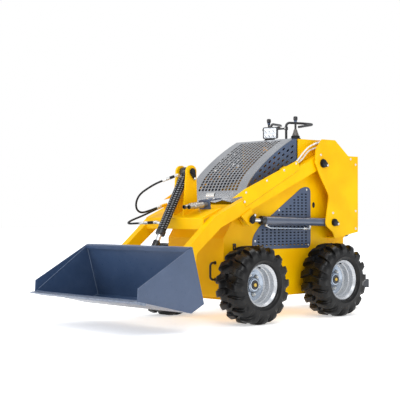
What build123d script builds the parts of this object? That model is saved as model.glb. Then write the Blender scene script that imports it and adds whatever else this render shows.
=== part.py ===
from build123d import *
from math import asin, atan2, cos, degrees, hypot, pi, radians, sin, tan
import os

# Stand-on mini skid steer loader.  Millimetres, +Z up, X forward, Y to the machine's left.
# Sizes are measured from the middle of the wheelbase on the ground.  The whole machine is then
# moved along X on export, so that the origin lies under the middle of its length.

# ---------------------------------------------------------------- driving dimensions
# wheels and tyres
tyre_od = 515.0
tyre_width = 224.0
wheelbase = 820.0
track_width = 846.0
lug_height = 20.0
lugs_per_side = 16
lug_foot = 8.0
lug_width = 38.0
lug_flare = 1.25
lug_sweep = 34.0
lug_middle_gap = 7.0
tread_shoulder = 22.0
shoulder_drop = 16.0
rim_seat_r = 127.0
rim_lip_r = 139.0
rim_wall = 5.0
rim_width = 180.0
rim_flats = 32
tyre_flats = 24
disc_thickness = 8.0
disc_inset = 24.0
disc_bore_r = 40.0
bolt_circle_r = 66.0
wheel_bolts = 6
bolt_hole_r = 8.5
shaft_clearance = 0.06
tyre_seat_gap = 0.3
motor_r = 78.0
hub_reach = 42.0

# chassis
body_half = 276.0
side_wall = 8.0
panel_sheet = 3.0
body_bottom = 155.0
toe_rise = 20.0
heel_rise = 60.0
nose_x = 530.0
nose_shoulder_z = 560.0
nose_brow = (460.0, 664.0)
hood_foot = (350.0, 786.0)
body_rear_x = -700.0
deck_z = 1250.0
deck_plate = 6.0
engine_half = 190.0
engine_front = 240.0
engine_back = -240.0
engine_top = 580.0
tie_ring_y = 196.0
tie_ring_low = 287.0
tie_ring_high = 398.0
tie_ring_reach = 46.0
tie_ring_rod_r = 7.5

# hood and its side panels
hood_sheet = 3.0
hood_gap = 3.0
hood_edge_gap = 2.0
hood_top = (-140.0, deck_z)
hood_first_slope = -26.0
hood_arcs = ((1750.0, 14.0), (405.0, 37.0))
hood_hinge_r = 7.0
hood_hinge_room = 10.0
hinge_saddle_y = 150.0
hinge_saddle_width = 24.0
hood_hole = (46.0, 22.0)
hood_hole_pitch = (64.0, 41.0)
hood_hole_rows = 8
hood_hole_columns = 12
hood_margin = 74.0
slot_width = 12.0
slot_length = 34.0

# tower beside each arm, and the rear wall between them
tower_plate = 8.0
tower_rear_x = -768.0
tower_shoulder_x = -507.0
tower_step = (-657.0, 1141.0)
tower_foot_z = 587.0
tower_toe = (-504.0, 545.0)
rear_sheet = 6.0

# boom, set off from the body and the towers by gaps
arm_gap = 6.0
arm_width = 55.0
tower_gap = 12.0
boom_pivot = (-372.0, 1079.0)
boom_pin_r = 22.0
pin_clearance = 0.08
pin_head = 9.0
arm_slope = -23.2
arm_tail = 45.0
arm_below_pivot = 33.0
arm_above_pivot = 60.0
knee_top = (661.0, 706.0)
knee_bottom = (616.0, 632.0)
shin_front = (904.0, 507.0)
shin_rear = (829.0, 469.0)
bucket_pivot = (895.0, 270.0)
bucket_pin_r = 20.0
arm_end_r = 55.0
beam_rear = (563.0, 759.0)
beam_front = (722.0, 696.0)
beam_depth = 74.0
beam_plate = 8.0
guard_sheet = 5.0
coupler_y = 150.0
coupler_spacing = 48.0
coupler_base = (585.0, 786.0)
coupler_tip = (748.0, 765.0)
bracket_half = 52.0
bracket_sheet = 7.0

# lift cylinders
lift_inset = 30.0
lift_rear = (-492.0, 659.0)
lift_front = (345.0, 681.0)
lift_barrel_r = 28.5
lift_rod_r = 15.0
lift_barrel_length = 715.0
lift_gland = 34.0
lift_eye_r = 32.0
lift_eye_width = 40.0
lift_pin_r = 17.5
clevis_plate = 8.0
feed_tube_r = 6.0
feed_tube_drop = 50.0

# tilt cylinder
tilt_top = (614.0, 1002.0)
tilt_low = (905.0, 478.0)
tilt_barrel_r = 30.0
tilt_rod_r = 17.0
tilt_barrel_length = 478.0
tilt_eye_r = 33.0
tilt_eye_width = 60.0
tilt_pin_r = 17.5
tilt_end_r = 24.0
tilt_end_length = 74.0
ear_gap = 12.0
ear_plate = 16.0
ear_r = 44.0
tilt_port_top = 48.0
tilt_port_low = 400.0
fitting_r = 9.0

# bucket, in the plane of its side view
bucket_half = 533.0
bucket_plate = 8.0
bucket_side_plate = 10.0
bucket_top_rear = (1041.0, 520.0)
bucket_low_rear = (946.0, 172.0)
bucket_floor_rear = (1051.0, 121.0)
bucket_floor_front = (1465.0, 217.0)
bucket_side_front = (1460.0, 292.0)
bucket_back_drop = 28.0
bucket_lip = (16.0, 26.0)
cutting_edge_reach = 40.0
cutting_edge_droop = 10.0
cutting_edge_thickness = 14.0
cutting_edge_lap = 60.0
hitch_overhang = 32.0
hitch_plate = 12.0
hitch_ear = 15.0
hitch_ear_gap = 2.0

# stand-on platform
platform_rear_x = -1080.0
platform_half = 250.0
platform_corner = 40.0
platform_z = 220.0
platform_depth = 60.0
platform_sheet = 6.0
post_x = -812.0
post_half = 160.0
post_sheet = 10.0
backrest_half = 228.0
backrest_low = 548.0
backrest_high = 730.0
backrest_slot_y = 196.0

# controls
stick_place = (-337.0, 132.0)
stick_top = 1428.0
boot_r = 40.0
rail_foot = (-300.0, 75.0)
rail_r = 9.0
tube_sides = 8
lamp_place = (-230.0, -20.0)

# hoses: diameters, and the points that each route runs through
tilt_hose_d = 13.0
arm_hose_d = 12.0
elbow_wall_gap = 0.3
tilt_hose_upper = [(781, -12, 949), (839, -27, 928), (896, -47, 895), (952, -75, 852), (960, -106, 800),
                   (936, -131, 751), (880, -149, 727), (792, -165, 744), (700, -170, 771)]
tilt_hose_lower = [(886, -118, 662), (928, -160, 659), (934, -212, 657), (906, -257, 664), (855, -273, 682),
                   (775, -250, 712), (661, -204, 769)]
arm_hose_upper = [(-352, 316, 1221), (-285, 316, 1204), (-222, 316, 1160), (-170, 316, 1110),
                  (-110, 316, 1062), (-50, 316, 1036.3)]
arm_hose_lower = [(-360, 296, 1188), (-310, 296, 1178), (-264, 296, 1147), (-222, 296, 1104),
                  (-175, 296, 1077), (-120, 296, 1052), (-55.2, 296, 1024.2)]
hose_end_gap = 0.4

# places that follow from the sizes above
arm_inner_y = body_half + panel_sheet + arm_gap
arm_outer_y = arm_inner_y + arm_width
tower_inner_y = arm_outer_y + tower_gap
tower_outer_y = tower_inner_y + tower_plate
lift_y = arm_inner_y + lift_inset
wall_inner = body_half - side_wall
hood_half = body_half - hood_edge_gap
hood_hinge = (hood_top[0] + 2, hood_top[1] - hood_sheet - 6)
ear_inner_y = tilt_eye_width / 2 + ear_gap
hitch_half = arm_outer_y + hitch_overhang
lug_half_foot = (lug_sweep + lug_width) / 2
lug_top_r = (tyre_od**2 / 4 - lug_half_foot**2) ** 0.5
floor_run = bucket_floor_front[0] - bucket_floor_rear[0]
floor_rise = bucket_floor_front[1] - bucket_floor_rear[1]
tip_ahead = (cutting_edge_reach * floor_run + cutting_edge_droop * floor_rise) / hypot(floor_run, floor_rise)
front_end = bucket_floor_front[0] + tip_ahead
centre_x = (front_end + platform_rear_x) / 2
axle_z = tyre_od / 2 * cos(pi / lugs_per_side - asin(2 * lug_half_foot / tyre_od))

# ---------------------------------------------------------------- helpers
def outline_of(corners, corner):
    """A closed outline; corner is one radius, or one for each of its corners."""
    if corner:
        return FilletPolyline(*corners, radius=corner, close=True)
    return Polyline(*corners, close=True)


def plate(points, y_low, y_high, corner=0.0):
    """A flat plate: an outline in side view (x, z), from y_low to y_high."""
    outline = outline_of([(x, y_low, z) for x, z in points], corner)
    return extrude(make_face(outline), y_high - y_low, dir=(0, 1, 0))


def slab(points, z_low, z_high, corner=0.0):
    """A flat slab: an outline in top view (x, y), from z_low to z_high."""
    outline = outline_of([(x, y, z_low) for x, y in points], corner)
    return extrude(make_face(outline), z_high - z_low, dir=(0, 0, 1))


def panel(points, x_low, x_high, corner=0.0):
    """A flat panel: an outline in end view (y, z), from x_low to x_high."""
    outline = outline_of([(x_low, y, z) for y, z in points], corner)
    return extrude(make_face(outline), x_high - x_low, dir=(1, 0, 0))


def block(x_range, y_range, z_range):
    """A box between two limits on each axis."""
    size = [high - low for low, high in (x_range, y_range, z_range)]
    middle = [(high + low) / 2 for low, high in (x_range, y_range, z_range)]
    return Pos(*middle) * Box(*size)


def pin(x, z, radius, y_low, y_high):
    """A round bar along Y."""
    middle = (y_low + y_high) / 2
    return Pos(x, middle, z) * Rot(90, 0, 0) * Cylinder(radius, y_high - y_low)


def drum(x, z, radius, y_low, y_high, sides=20):
    """A bar along Y with flat sides."""
    section = Plane(origin=(x, y_low, z), z_dir=(0, 1, 0)) * RegularPolygon(radius, sides)
    return extrude(section, y_high - y_low)


def bar(start, end, radius):
    """A round bar between two points in space."""
    run = Vector(*end) - Vector(*start)
    return extrude(Plane(origin=start, z_dir=run) * Circle(radius), run.length)


def tube(points, bends, radius):
    """A round bar bent along straight runs joined by tangent arcs."""
    path = FilletPolyline(*points, radius=bends)
    return sweep(Plane(origin=path @ 0, z_dir=path % 0) * Circle(radius), path=path)


def bent_bar(points, radius, sides=8):
    """A bar with flat sides, mitred at each corner of its path."""
    path = Polyline(*points)
    section = Plane(origin=path @ 0, z_dir=path % 0) * RegularPolygon(radius, sides)
    return sweep(section, path=path, transition=Transition.RIGHT)


def both_sides(*shapes):
    """Each shape and its mirror image in the machine's middle plane."""
    return [*shapes, *[mirror(shape, about=Plane.XZ) for shape in shapes]]


def toward(start, end):
    """Length and direction, in degrees above X, from one side-view point to another."""
    return hypot(end[0] - start[0], end[1] - start[1]), degrees(atan2(end[1] - start[1], end[0] - start[0]))


def along(start, slope, distance, rise=0.0):
    """A side-view point at a distance along a slope in degrees, and a rise square to it."""
    run = radians(slope)
    return (start[0] + distance * cos(run) - rise * sin(run), start[1] + distance * sin(run) + rise * cos(run))


def axial(start, slope, y, parts):
    """Coaxial cylinders along a slope in side view: (from, to, radius) measured from the start."""
    solid = None
    for low, high, radius in parts:
        x0, z0 = along(start, slope, low)
        x1, z1 = along(start, slope, high)
        piece = bar((x0, y, z0), (x1, y, z1), radius)
        solid = piece if solid is None else solid + piece
    return solid


def faceted_ring(profile, sides):
    """A solid ring about the Y axis, of flat sides: the closed profile is rows of (radius, y)."""
    rings = []
    for step in range(sides):
        turn = 2 * pi * (step + 0.5) / sides
        rings.append([(r * sin(turn), y, r * cos(turn)) for r, y in profile])
    faces = []
    for here, after in zip(rings, rings[1:] + rings[:1]):
        for place in range(len(profile)):
            beside = (place + 1) % len(profile)
            corners = [here[place], here[beside], after[beside], after[place]]
            faces.append(Face(Wire.make_polygon([Vector(*corner) for corner in corners], close=True)))
    ring = Solid(Shell(faces))
    return ring if ring.volume > 0 else Solid(Shell([-face for face in faces]))


nodes = {}


def keep(name, *shapes):
    """Store the solids of one node, moved so that the origin is under the middle."""
    solids = [solid for shape in shapes for solid in shape.solids()]
    nodes[name] = Pos(-centre_x, 0, 0) * (solids[0] if len(solids) == 1 else Compound(children=solids))


# ---------------------------------------------------------------- wheels
def rim():
    """A deep-dished steel rim about the Y axis, its lip outermost at +Y."""
    half = rim_width / 2
    drop = rim_seat_r - rim_wall
    disc_y = -disc_inset
    bore = (disc_bore_r + shaft_clearance) / cos(pi / rim_flats)
    profile = [
        (drop, -half), (rim_lip_r, -half), (rim_seat_r, -half + rim_wall * 2), (rim_seat_r, half - rim_wall * 2),
        (rim_lip_r, half - rim_wall), (rim_lip_r, half), (drop, half - rim_wall * 3),
        (drop - 3, disc_y + disc_thickness * 3), (drop - 30, disc_y + disc_thickness),
        (bore, disc_y + disc_thickness), (bore, disc_y), (drop - 28, disc_y), (drop - 3, disc_y + disc_thickness),
    ]
    return faceted_ring(profile, rim_flats)


def lug(side):
    """One bar lug at the top of the tyre, swept back from the middle of the tread to the shoulder."""
    half = tyre_width / 2
    crown = half - tread_shoulder
    root = tyre_od / 2 - lug_height - lug_foot
    centre_line = [(lug_middle_gap, -lug_sweep / 2, lug_width), (half, lug_sweep / 2, lug_width * lug_flare)]
    front = [(side * y, back - width / 2) for y, back, width in centre_line]
    rear = [(side * y, back + width / 2) for y, back, width in centre_line]
    base = make_face(Polyline(*[(back, y, root) for y, back in front + rear[::-1]], close=True))
    chamfer = [(crown, lug_top_r), (half, lug_top_r - shoulder_drop), (half + 1, lug_top_r + 1), (crown, lug_top_r + 1)]
    corner = panel([(side * y, r) for y, r in chamfer], -lug_sweep * 2, lug_sweep * 2)
    return extrude(base, lug_top_r - root, dir=(0, 0, 1)) - corner


def tyre():
    """A tyre about the Y axis with two staggered rows of bar lugs."""
    half = tyre_width / 2
    carcass_r = tyre_od / 2 - lug_height
    bore = (rim_seat_r + tyre_seat_gap) / cos(pi / tyre_flats)
    bead = rim_width / 2 - rim_wall * 2 - 1
    side = [(bore, bead), (rim_lip_r + 1, bead), (rim_lip_r + 21, half - 4), (carcass_r, half - tread_shoulder)]
    carcass = faceted_ring(side + [(r, -y) for r, y in reversed(side)], tyre_flats)
    pitch = 360.0 / lugs_per_side
    lugs = []
    for row, shape in ((0.0, lug(1)), (0.5, lug(-1))):
        lugs += [Rot(0, pitch * (place + row), 0) * shape for place in range(lugs_per_side)]
    return carcass.fuse(*lugs)


def wheels():
    """Four wheels, and the drive motors whose shafts carry them."""
    rim_left, tyre_left = rim(), tyre()
    rim_right, tyre_right = (mirror(shape, about=Plane.XZ) for shape in (rim_left, tyre_left))
    motors = []
    disc_y = track_width / 2 - disc_inset
    hub_face = disc_y + disc_thickness + 1
    # corner, along X, side
    for corner, x, side in (("front_left", 1, 1), ("front_right", 1, -1),
                            ("rear_left", -1, 1), ("rear_right", -1, -1)):
        place = Pos(x * wheelbase / 2, side * track_width / 2, axle_z)
        keep(f"rim_{corner}", place * (rim_left if side > 0 else rim_right))
        keep(f"tyre_{corner}", place * (tyre_left if side > 0 else tyre_right))
        shaft = drum(x * wheelbase / 2, axle_z, motor_r, body_half, disc_y - disc_thickness)
        shaft += pin(x * wheelbase / 2, axle_z, disc_bore_r, disc_y - disc_thickness, disc_y + hub_reach)
        shaft += drum(x * wheelbase / 2, axle_z, disc_bore_r + 10, hub_face, hub_face + 25)
        motors.append(shaft if side > 0 else mirror(shaft, about=Plane.XZ))
    keep("drive_motors", *motors)


# ---------------------------------------------------------------- chassis
wall_x = tower_rear_x + tower_plate
side_outline = [
    (nose_x, body_bottom + toe_rise), (nose_x, nose_shoulder_z), nose_brow, hood_foot,
    (-150.0, 985.0), (-204.0, 1020.0), (-204.0, deck_z), (tower_shoulder_x, deck_z), tower_step,
    (wall_x, tower_step[1]), (wall_x, tower_foot_z), (body_rear_x, 540.0),
    (body_rear_x, body_bottom + heel_rise), (body_rear_x + heel_rise, body_bottom), (nose_x - toe_rise, body_bottom),
]
grille_outline = [(-331.0, 480.0), (-331.0, 911.0), (-245.0, 911.0), (196.0, 636.0), (264.0, 560.0), (264.0, 480.0)]
grille_window = [(-306.0, 505.0), (-306.0, 872.0), (-250.0, 886.0), (180.0, 620.0), (236.0, 548.0), (205.0, 505.0)]
# first and last z of each column of slots; the columns run from the front
grille_columns = ((203.0, 508.0, 570.0), (140.0, 508.0, 620.0), (77.0, 508.0, 660.0), (14.0, 508.0, 700.0),
                  (-49.0, 508.0, 740.0), (-112.0, 508.0, 780.0), (-175.0, 508.0, 820.0), (-238.0, 508.0, 860.0),
                  (-286.0, 508.0, 862.0))
grille_row_pitch = 62.0
grille_slot = (40.0, 24.0)
side_slot = (434.0, 507.0, 14.0, 24.0)
cable_hole = (-365.0, 784.0, 22.0, 34.0)
hose_hole = (-440.0, 1215.0, 58.0, 36.0)


def oval(x, z, width, height, y_low, y_high):
    """A slot with round ends, as a cutter through a plate."""
    radius = min(width, height) / 2 - 0.5
    corners = [(x + a * width / 2, z + b * height / 2) for a, b in ((-1, -1), (1, -1), (1, 1), (-1, 1))]
    return plate(corners, y_low, y_high, radius)


def aim_of(start, end):
    """The unit direction from one point to another."""
    return (Vector(*end) - Vector(*start)).normalized()


def wall_elbow(hose):
    """The elbow beside the left side plate whose mouth meets a hose's first point; it turns with the arm."""
    aim = aim_of(hose[0], hose[1])
    mouth = Vector(*hose[0]) - aim * hose_end_gap
    corner = mouth - aim * 34
    foot = (corner.X, body_half + elbow_wall_gap, corner.Z)
    return bent_bar([foot, tuple(corner), tuple(mouth)], fitting_r * 0.8)


def main_frame():
    """The welded tub: two side plates, nose, floor and rear wall."""
    window = plate(grille_window, 0, body_half + 1, 12)
    side = plate(side_outline, wall_inner, body_half) - window
    for hole in (side_slot, cable_hole, hose_hole):
        side -= oval(*hole, 0, body_half + 1)
    toe_z = body_bottom + toe_rise
    nose = plate([(nose_x, toe_z), (nose_x, nose_shoulder_z), nose_brow, hood_foot,
                  (hood_foot[0] - side_wall, hood_foot[1] - 4), (nose_brow[0] - side_wall, nose_brow[1] - 4),
                  (nose_x - side_wall, nose_shoulder_z - 3), (nose_x - side_wall, toe_z)],
                 -wall_inner, wall_inner)
    floor = block((body_rear_x + heel_rise, nose_x - side_wall), (-wall_inner, wall_inner),
                  (body_bottom, body_bottom + side_wall))
    foot = plate([(nose_x - toe_rise, body_bottom), (nose_x, toe_z), (nose_x - side_wall, toe_z + 4),
                  (nose_x - toe_rise - 4, body_bottom + side_wall)], -wall_inner, wall_inner)
    rear = block((body_rear_x, body_rear_x + side_wall), (-wall_inner, wall_inner),
                 (body_bottom + heel_rise, tower_foot_z))
    heel = plate([(body_rear_x, body_bottom + heel_rise), (body_rear_x + heel_rise, body_bottom),
                  (body_rear_x + heel_rise + 2, body_bottom + side_wall),
                  (body_rear_x + side_wall, body_bottom + heel_rise + 4)], -wall_inner, wall_inner)
    frame = nose + floor + foot + rear + heel
    for piece in both_sides(side):
        frame += piece
    out = nose_x + tie_ring_reach
    ring = bent_bar([(nose_x, tie_ring_y, tie_ring_high), (out - 14, tie_ring_y, tie_ring_high),
                     (out, tie_ring_y, tie_ring_high - 14), (out, tie_ring_y, tie_ring_low + 14),
                     (out - 14, tie_ring_y, tie_ring_low), (nose_x, tie_ring_y, tie_ring_low)],
                    tie_ring_rod_r)
    keep("tie_rings", *both_sides(ring))
    keep("main_frame", frame)


def side_grilles():
    """Panels on the side plates, with rows of short slots."""
    sheet = plate(grille_outline, body_half, body_half + panel_sheet, [25, 60, 30, 40, 30, 30])
    half_length, half_width = grille_slot[0] / 2, grille_slot[1] / 2
    slots = []
    for x, low, high in grille_columns:
        z = low
        while z < high:
            slots.append(block((x - half_length / 2, x + half_length / 2), (wall_inner, tower_inner_y),
                               (z - half_width / 2, z + half_width)))
            z += grille_row_pitch
    keep("side_grilles", *both_sides(sheet - slots))


def engine():
    """The engine and pumps as one block on the tub floor, with its sump and its fan cowl."""
    lump = block((engine_back, engine_front), (-engine_half, engine_half), (body_bottom + side_wall, engine_top))
    cowl = block((engine_front - 60, engine_front + 40), (-engine_half + 20, engine_half - 20),
                 (body_bottom + 70, engine_top + 60))
    keep("engine_block", lump + cowl)


# ---------------------------------------------------------------- hood
def hood_curve(offset):
    """Points and arcs of the hood line in side view, at an offset below the outer skin."""
    lines = []
    x, z = along(hood_top, hood_first_slope, 0, -offset)
    slope = hood_first_slope
    for radius, turn in hood_arcs:
        r = radius - offset
        mid = along((x, z), slope - turn / 4, 2 * r * sin(radians(turn / 4)))
        end = along((x, z), slope - turn / 2, 2 * r * sin(radians(turn / 2)))
        lines.append(((x, z), mid, end))
        x, z = end
        slope -= turn
    return lines


def hood_place(distance):
    """The side-view point of the outer skin, and its slope, at a distance down the hood."""
    start, slope = hood_top, hood_first_slope
    for radius, turn in hood_arcs:
        length = radius * radians(turn)
        share = min(distance / length, 1.0) * turn
        point = along(start, slope - share / 2, 2 * radius * sin(radians(share / 2)))
        slope -= share
        if distance <= length:
            return point, slope
        start, distance = point, distance - length
    return start, slope


def hood_profile(low, high, y):
    """The closed side-view band between two offsets below the hood's outer skin."""
    outer, inner = hood_curve(low), hood_curve(high)
    edges = [ThreePointArc(*[(x, y, z) for x, z in stretch]) for stretch in outer]
    edges += [ThreePointArc(*[(x, y, z) for x, z in stretch]) for stretch in inner]
    for index in (0, -1):
        (xa, za), (xb, zb) = (outer[index][-1 if index else 0], inner[index][-1 if index else 0])
        edges.append(Line((xa, y, za), (xb, y, zb)))
    return make_face(Wire(edges))


def hood():
    """The curved perforated lid, hinged along its top edge."""
    lid = extrude(hood_profile(0, hood_sheet, -hood_half), 2 * hood_half, dir=(0, 1, 0))
    reach = 2 * hood_sheet
    holes = []
    for row in range(hood_hole_rows):
        (x, z), slope = hood_place(hood_margin + row * hood_hole_pitch[0])
        cutter = Rot(0, -slope, 0) * Box(hood_hole[0], hood_hole[1], 2 * reach)
        for column in range(hood_hole_columns):
            y = (column - (hood_hole_columns - 1) / 2) * hood_hole_pitch[1]
            holes.append(Pos(x, y, z) * cutter)
    bottom = hood_curve(0)[-1][-1]
    wave = [(0, 0), (38, 8), (75, 18), (125, 8), (175, 0), (225, 10), (265, 22), (hood_half + 1, 22)]
    edge = [(y, bottom[1] + rise) for y, rise in wave]
    edge = [(-y, z) for y, z in edge[:0:-1]] + edge + [(hood_half + 1, bottom[1] - 20), (-hood_half - 1, bottom[1] - 20)]
    lid = lid - holes - panel(edge, bottom[0] - 40, bottom[0] + 20)
    hinge = pin(*hood_hinge, hood_hinge_r, -hood_half + 40, hood_half - 40)
    keep("hood_lid", lid + hinge)


# centre of each slot through a hood side: x, z
side_slots = [(x, 1146.0 - (x + 150) * 0.43 - fall * 44.0) for fall in (0, 1) for x in range(-150, 280, 84)]
side_slots = [(x, z) for x, z in side_slots if x < 210]


def hood_sides():
    """Fixed infill panels between the hood and the arms."""
    y0, y1 = wall_inner - panel_sheet, wall_inner
    cutter = extrude(hood_profile(-400, hood_gap + hood_sheet, y0), panel_sheet, dir=(0, 1, 0))
    sheet = plate([(nose_brow[0] - 120, 750), (nose_brow[0] - 120, deck_z + 10), (-130, deck_z + 10),
                   (-196, deck_z - 5), (-196, 1000)], y0, y1) - cutter
    sheet -= pin(*hood_hinge, hood_hinge_r + hood_hinge_room, 0, body_half)
    for x, z in side_slots:
        a, b, c, d = ((-0.5, -0.5), (0.5, -0.5), (0.5, 0.5), (-0.5, 0.5))
        ends = [along((x, z), arm_slope, i * slot_length, j * slot_width) for i, j in (a, b, c, d)]
        sheet -= plate(ends, y0 - 1, y1 + 1)
    sheet = max(sheet.solids(), key=lambda solid: solid.volume)
    keep("hood_sides", *both_sides(sheet))


# ---------------------------------------------------------------- towers and rear
def towers():
    """Outer plates beside the arms, tied to the frame at the back and along the bottom."""
    y0, y1 = tower_inner_y, tower_outer_y
    front = [(-366, deck_z), (-300, 1180), (-288, 1085), (-345, 985), (-440, 850), (-415, 730),
             (-400, 640), (-480, 590)]
    rounding = [0, 40, 45, 60, 60, 40, 45, 30]
    outer = plate([*front, tower_toe, (tower_rear_x, tower_foot_z), (tower_rear_x, tower_step[1]), tower_step,
                   (tower_shoulder_x, deck_z)], y0, y1, rounding + [0] * 5)
    outer -= pin(*boom_pivot, boom_pin_r, y0 - 1, y1 + 1)
    outer -= pin(*lift_rear, lift_pin_r, y0 - 1, y1 + 1)
    back = block((tower_rear_x, wall_x), (body_half, y0), (tower_foot_z, tower_step[1]))
    foot = plate([tower_toe, (tower_rear_x, tower_foot_z), (tower_rear_x, tower_foot_z + tower_plate),
                  (tower_toe[0], tower_toe[1] + tower_plate)], body_half, y0)
    keep("towers", *both_sides(outer + back + foot))
    pins = []
    for place, radius in ((boom_pivot, boom_pin_r), (lift_rear, lift_pin_r)):
        pins.append(pin(*place, radius, body_half, y1 + pin_head) + pin(*place, radius + 9, y1, y1 + pin_head))
    keep("tower_pins", *both_sides(*pins))


def rear_panel():
    """The closed rear face and the control deck."""
    rear = block((tower_rear_x, tower_rear_x + rear_sheet), (-body_half, body_half), (tower_foot_z, tower_step[1]))
    keep("rear_panel", rear)
    half = wall_inner - panel_sheet
    deck = block((tower_shoulder_x, hood_top[0] - 22), (-half, half), (deck_z - deck_plate, deck_z))
    back_x, back_z = tower_rear_x + rear_sheet, tower_step[1]
    slope = plate([(tower_shoulder_x, deck_z), (tower_step[0], back_z), (back_x, back_z),
                   (back_x, back_z - deck_plate), (tower_step[0] - 3, back_z - deck_plate),
                   (tower_shoulder_x, deck_z - deck_plate)], -half, half)
    floor = deck + slope
    # saddles under the hood's hinge, as steps ahead of and above its centre
    steps = ((-40, 3), (-9, 0), (4, -4), (8, -9), (-2, -14), (-40, -8))
    outline = [(hood_hinge[0] + ahead, hood_hinge[1] + above) for ahead, above in steps]
    saddle = plate(outline, hinge_saddle_y, hinge_saddle_y + hinge_saddle_width)
    for piece in both_sides(saddle - pin(*hood_hinge, hood_hinge_r + pin_clearance, 0, body_half)):
        floor += piece
    keep("control_deck", floor)


def controls():
    """Operator's rails, two joysticks and the work light on the deck."""
    x, y = rail_foot
    # steps from the foot: back along X, out along Y, and height over the deck
    steps = ((0, 0, 0), (0, 0, 118), (20, 5, 134), (140, 35, 134), (172, 58, 131), (182, 88, 126), (164, 101, 120),
             (22, 101, 97))
    rail = bent_bar([(x - back, y + out, deck_z + rise) for back, out, rise in steps], rail_r)
    rails = drum(x, deck_z + 92, rail_r * 0.7, -y, y, 8)
    for piece in both_sides(rail):
        rails += piece
    keep("hand_rails", rails)
    x, y = stick_place
    stick = pin_up(x, y, deck_z, deck_z + 80, boot_r, 14.0)
    stick += pin_up(x, y, deck_z + 70, stick_top - 34, 8)
    stick += pin_up(x, y, stick_top - 34, stick_top, 16)
    keep("control_levers", *both_sides(stick))
    x, y = lamp_place
    lamp = block((x - 22, x + 22), (y - 48, y + 48), (deck_z + 34, deck_z + 92))
    for side in (-1, 1):
        foot_y = y + side * 30
        lamp += block((x - 8, x + 8), (foot_y - 8, foot_y + 8), (deck_z, deck_z + 34))
    keep("work_light", lamp)


def pin_up(x, y, z_low, z_high, radius, taper=0.0):
    """A bar along Z with flat sides, narrowing by a taper in degrees."""
    return extrude(Pos(x, y, z_low) * RegularPolygon(radius, 12), z_high - z_low, taper=taper)


def platform():
    """The stand-on platform, its upright and the slotted plate behind the operator's knees."""
    frame = block((post_x, post_x + post_sheet), (-post_half, post_half), (platform_z, tower_foot_z))
    for side in (-1, 1):
        edges = sorted((side * post_half, side * (post_half - post_sheet)))
        frame += block((post_x, tower_rear_x), edges, (platform_z, tower_foot_z + 60))
    corners = [(-backrest_half, backrest_low), (backrest_half, backrest_low), (backrest_half, backrest_high),
               (-backrest_half, backrest_high)]
    plate_back = panel(corners, post_x - 20, post_x, 34)
    for side in (-1, 1):
        y = side * backrest_slot_y
        plate_back -= panel([(y - 9, backrest_low + 35), (y + 9, backrest_low + 35), (y + 9, backrest_high - 35),
                             (y - 9, backrest_high - 35)], post_x - 21, post_x + 1, 8)
    keep("platform_frame", frame + plate_back)
    rear_y = platform_half - platform_corner
    outline = [(platform_rear_x, rear_y), (platform_rear_x + platform_corner, platform_half), (post_x, platform_half),
               (post_x, -platform_half), (platform_rear_x + platform_corner, -platform_half), (platform_rear_x, -rear_y)]
    inset = platform_sheet
    pocket = [(x + inset if x < post_x else x - inset, y - inset if y > 0 else y + inset) for x, y in outline]
    deck = slab(outline, platform_z - platform_depth, platform_z)
    keep("platform_deck", deck - slab(pocket, platform_z - platform_depth - 1, platform_z - inset))


# ---------------------------------------------------------------- boom
def arm_outline():
    """The side view of one arm, from the pivot down to the bucket pin, and the rounding of its corners."""
    x, z = bucket_pivot
    r = arm_end_r
    return [along(boom_pivot, arm_slope, -arm_tail, -arm_below_pivot), knee_bottom, shin_rear, (x - r, z + 2 * r),
            (x - r, z - r), (x + r, z - r), (x + r, z + 2 * r), shin_front, knee_top,
            along(boom_pivot, arm_slope, -arm_tail, arm_above_pivot)]


def beam_elbow(hose):
    """The elbow on the cross beam whose mouth meets a hose's last point."""
    aim = aim_of(hose[-2], hose[-1])
    mouth = Vector(*hose[-1]) + aim * hose_end_gap
    corner = mouth + aim * 42
    length, slope = toward(beam_rear, beam_front)
    tilt = radians(slope)
    ahead, above = corner.X - beam_rear[0], corner.Z - beam_rear[1]
    foot = along(beam_rear, slope, ahead * cos(tilt) + above * sin(tilt))
    return bent_bar([(foot[0], corner.Y, foot[1]), tuple(corner), tuple(mouth)], fitting_r)


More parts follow.
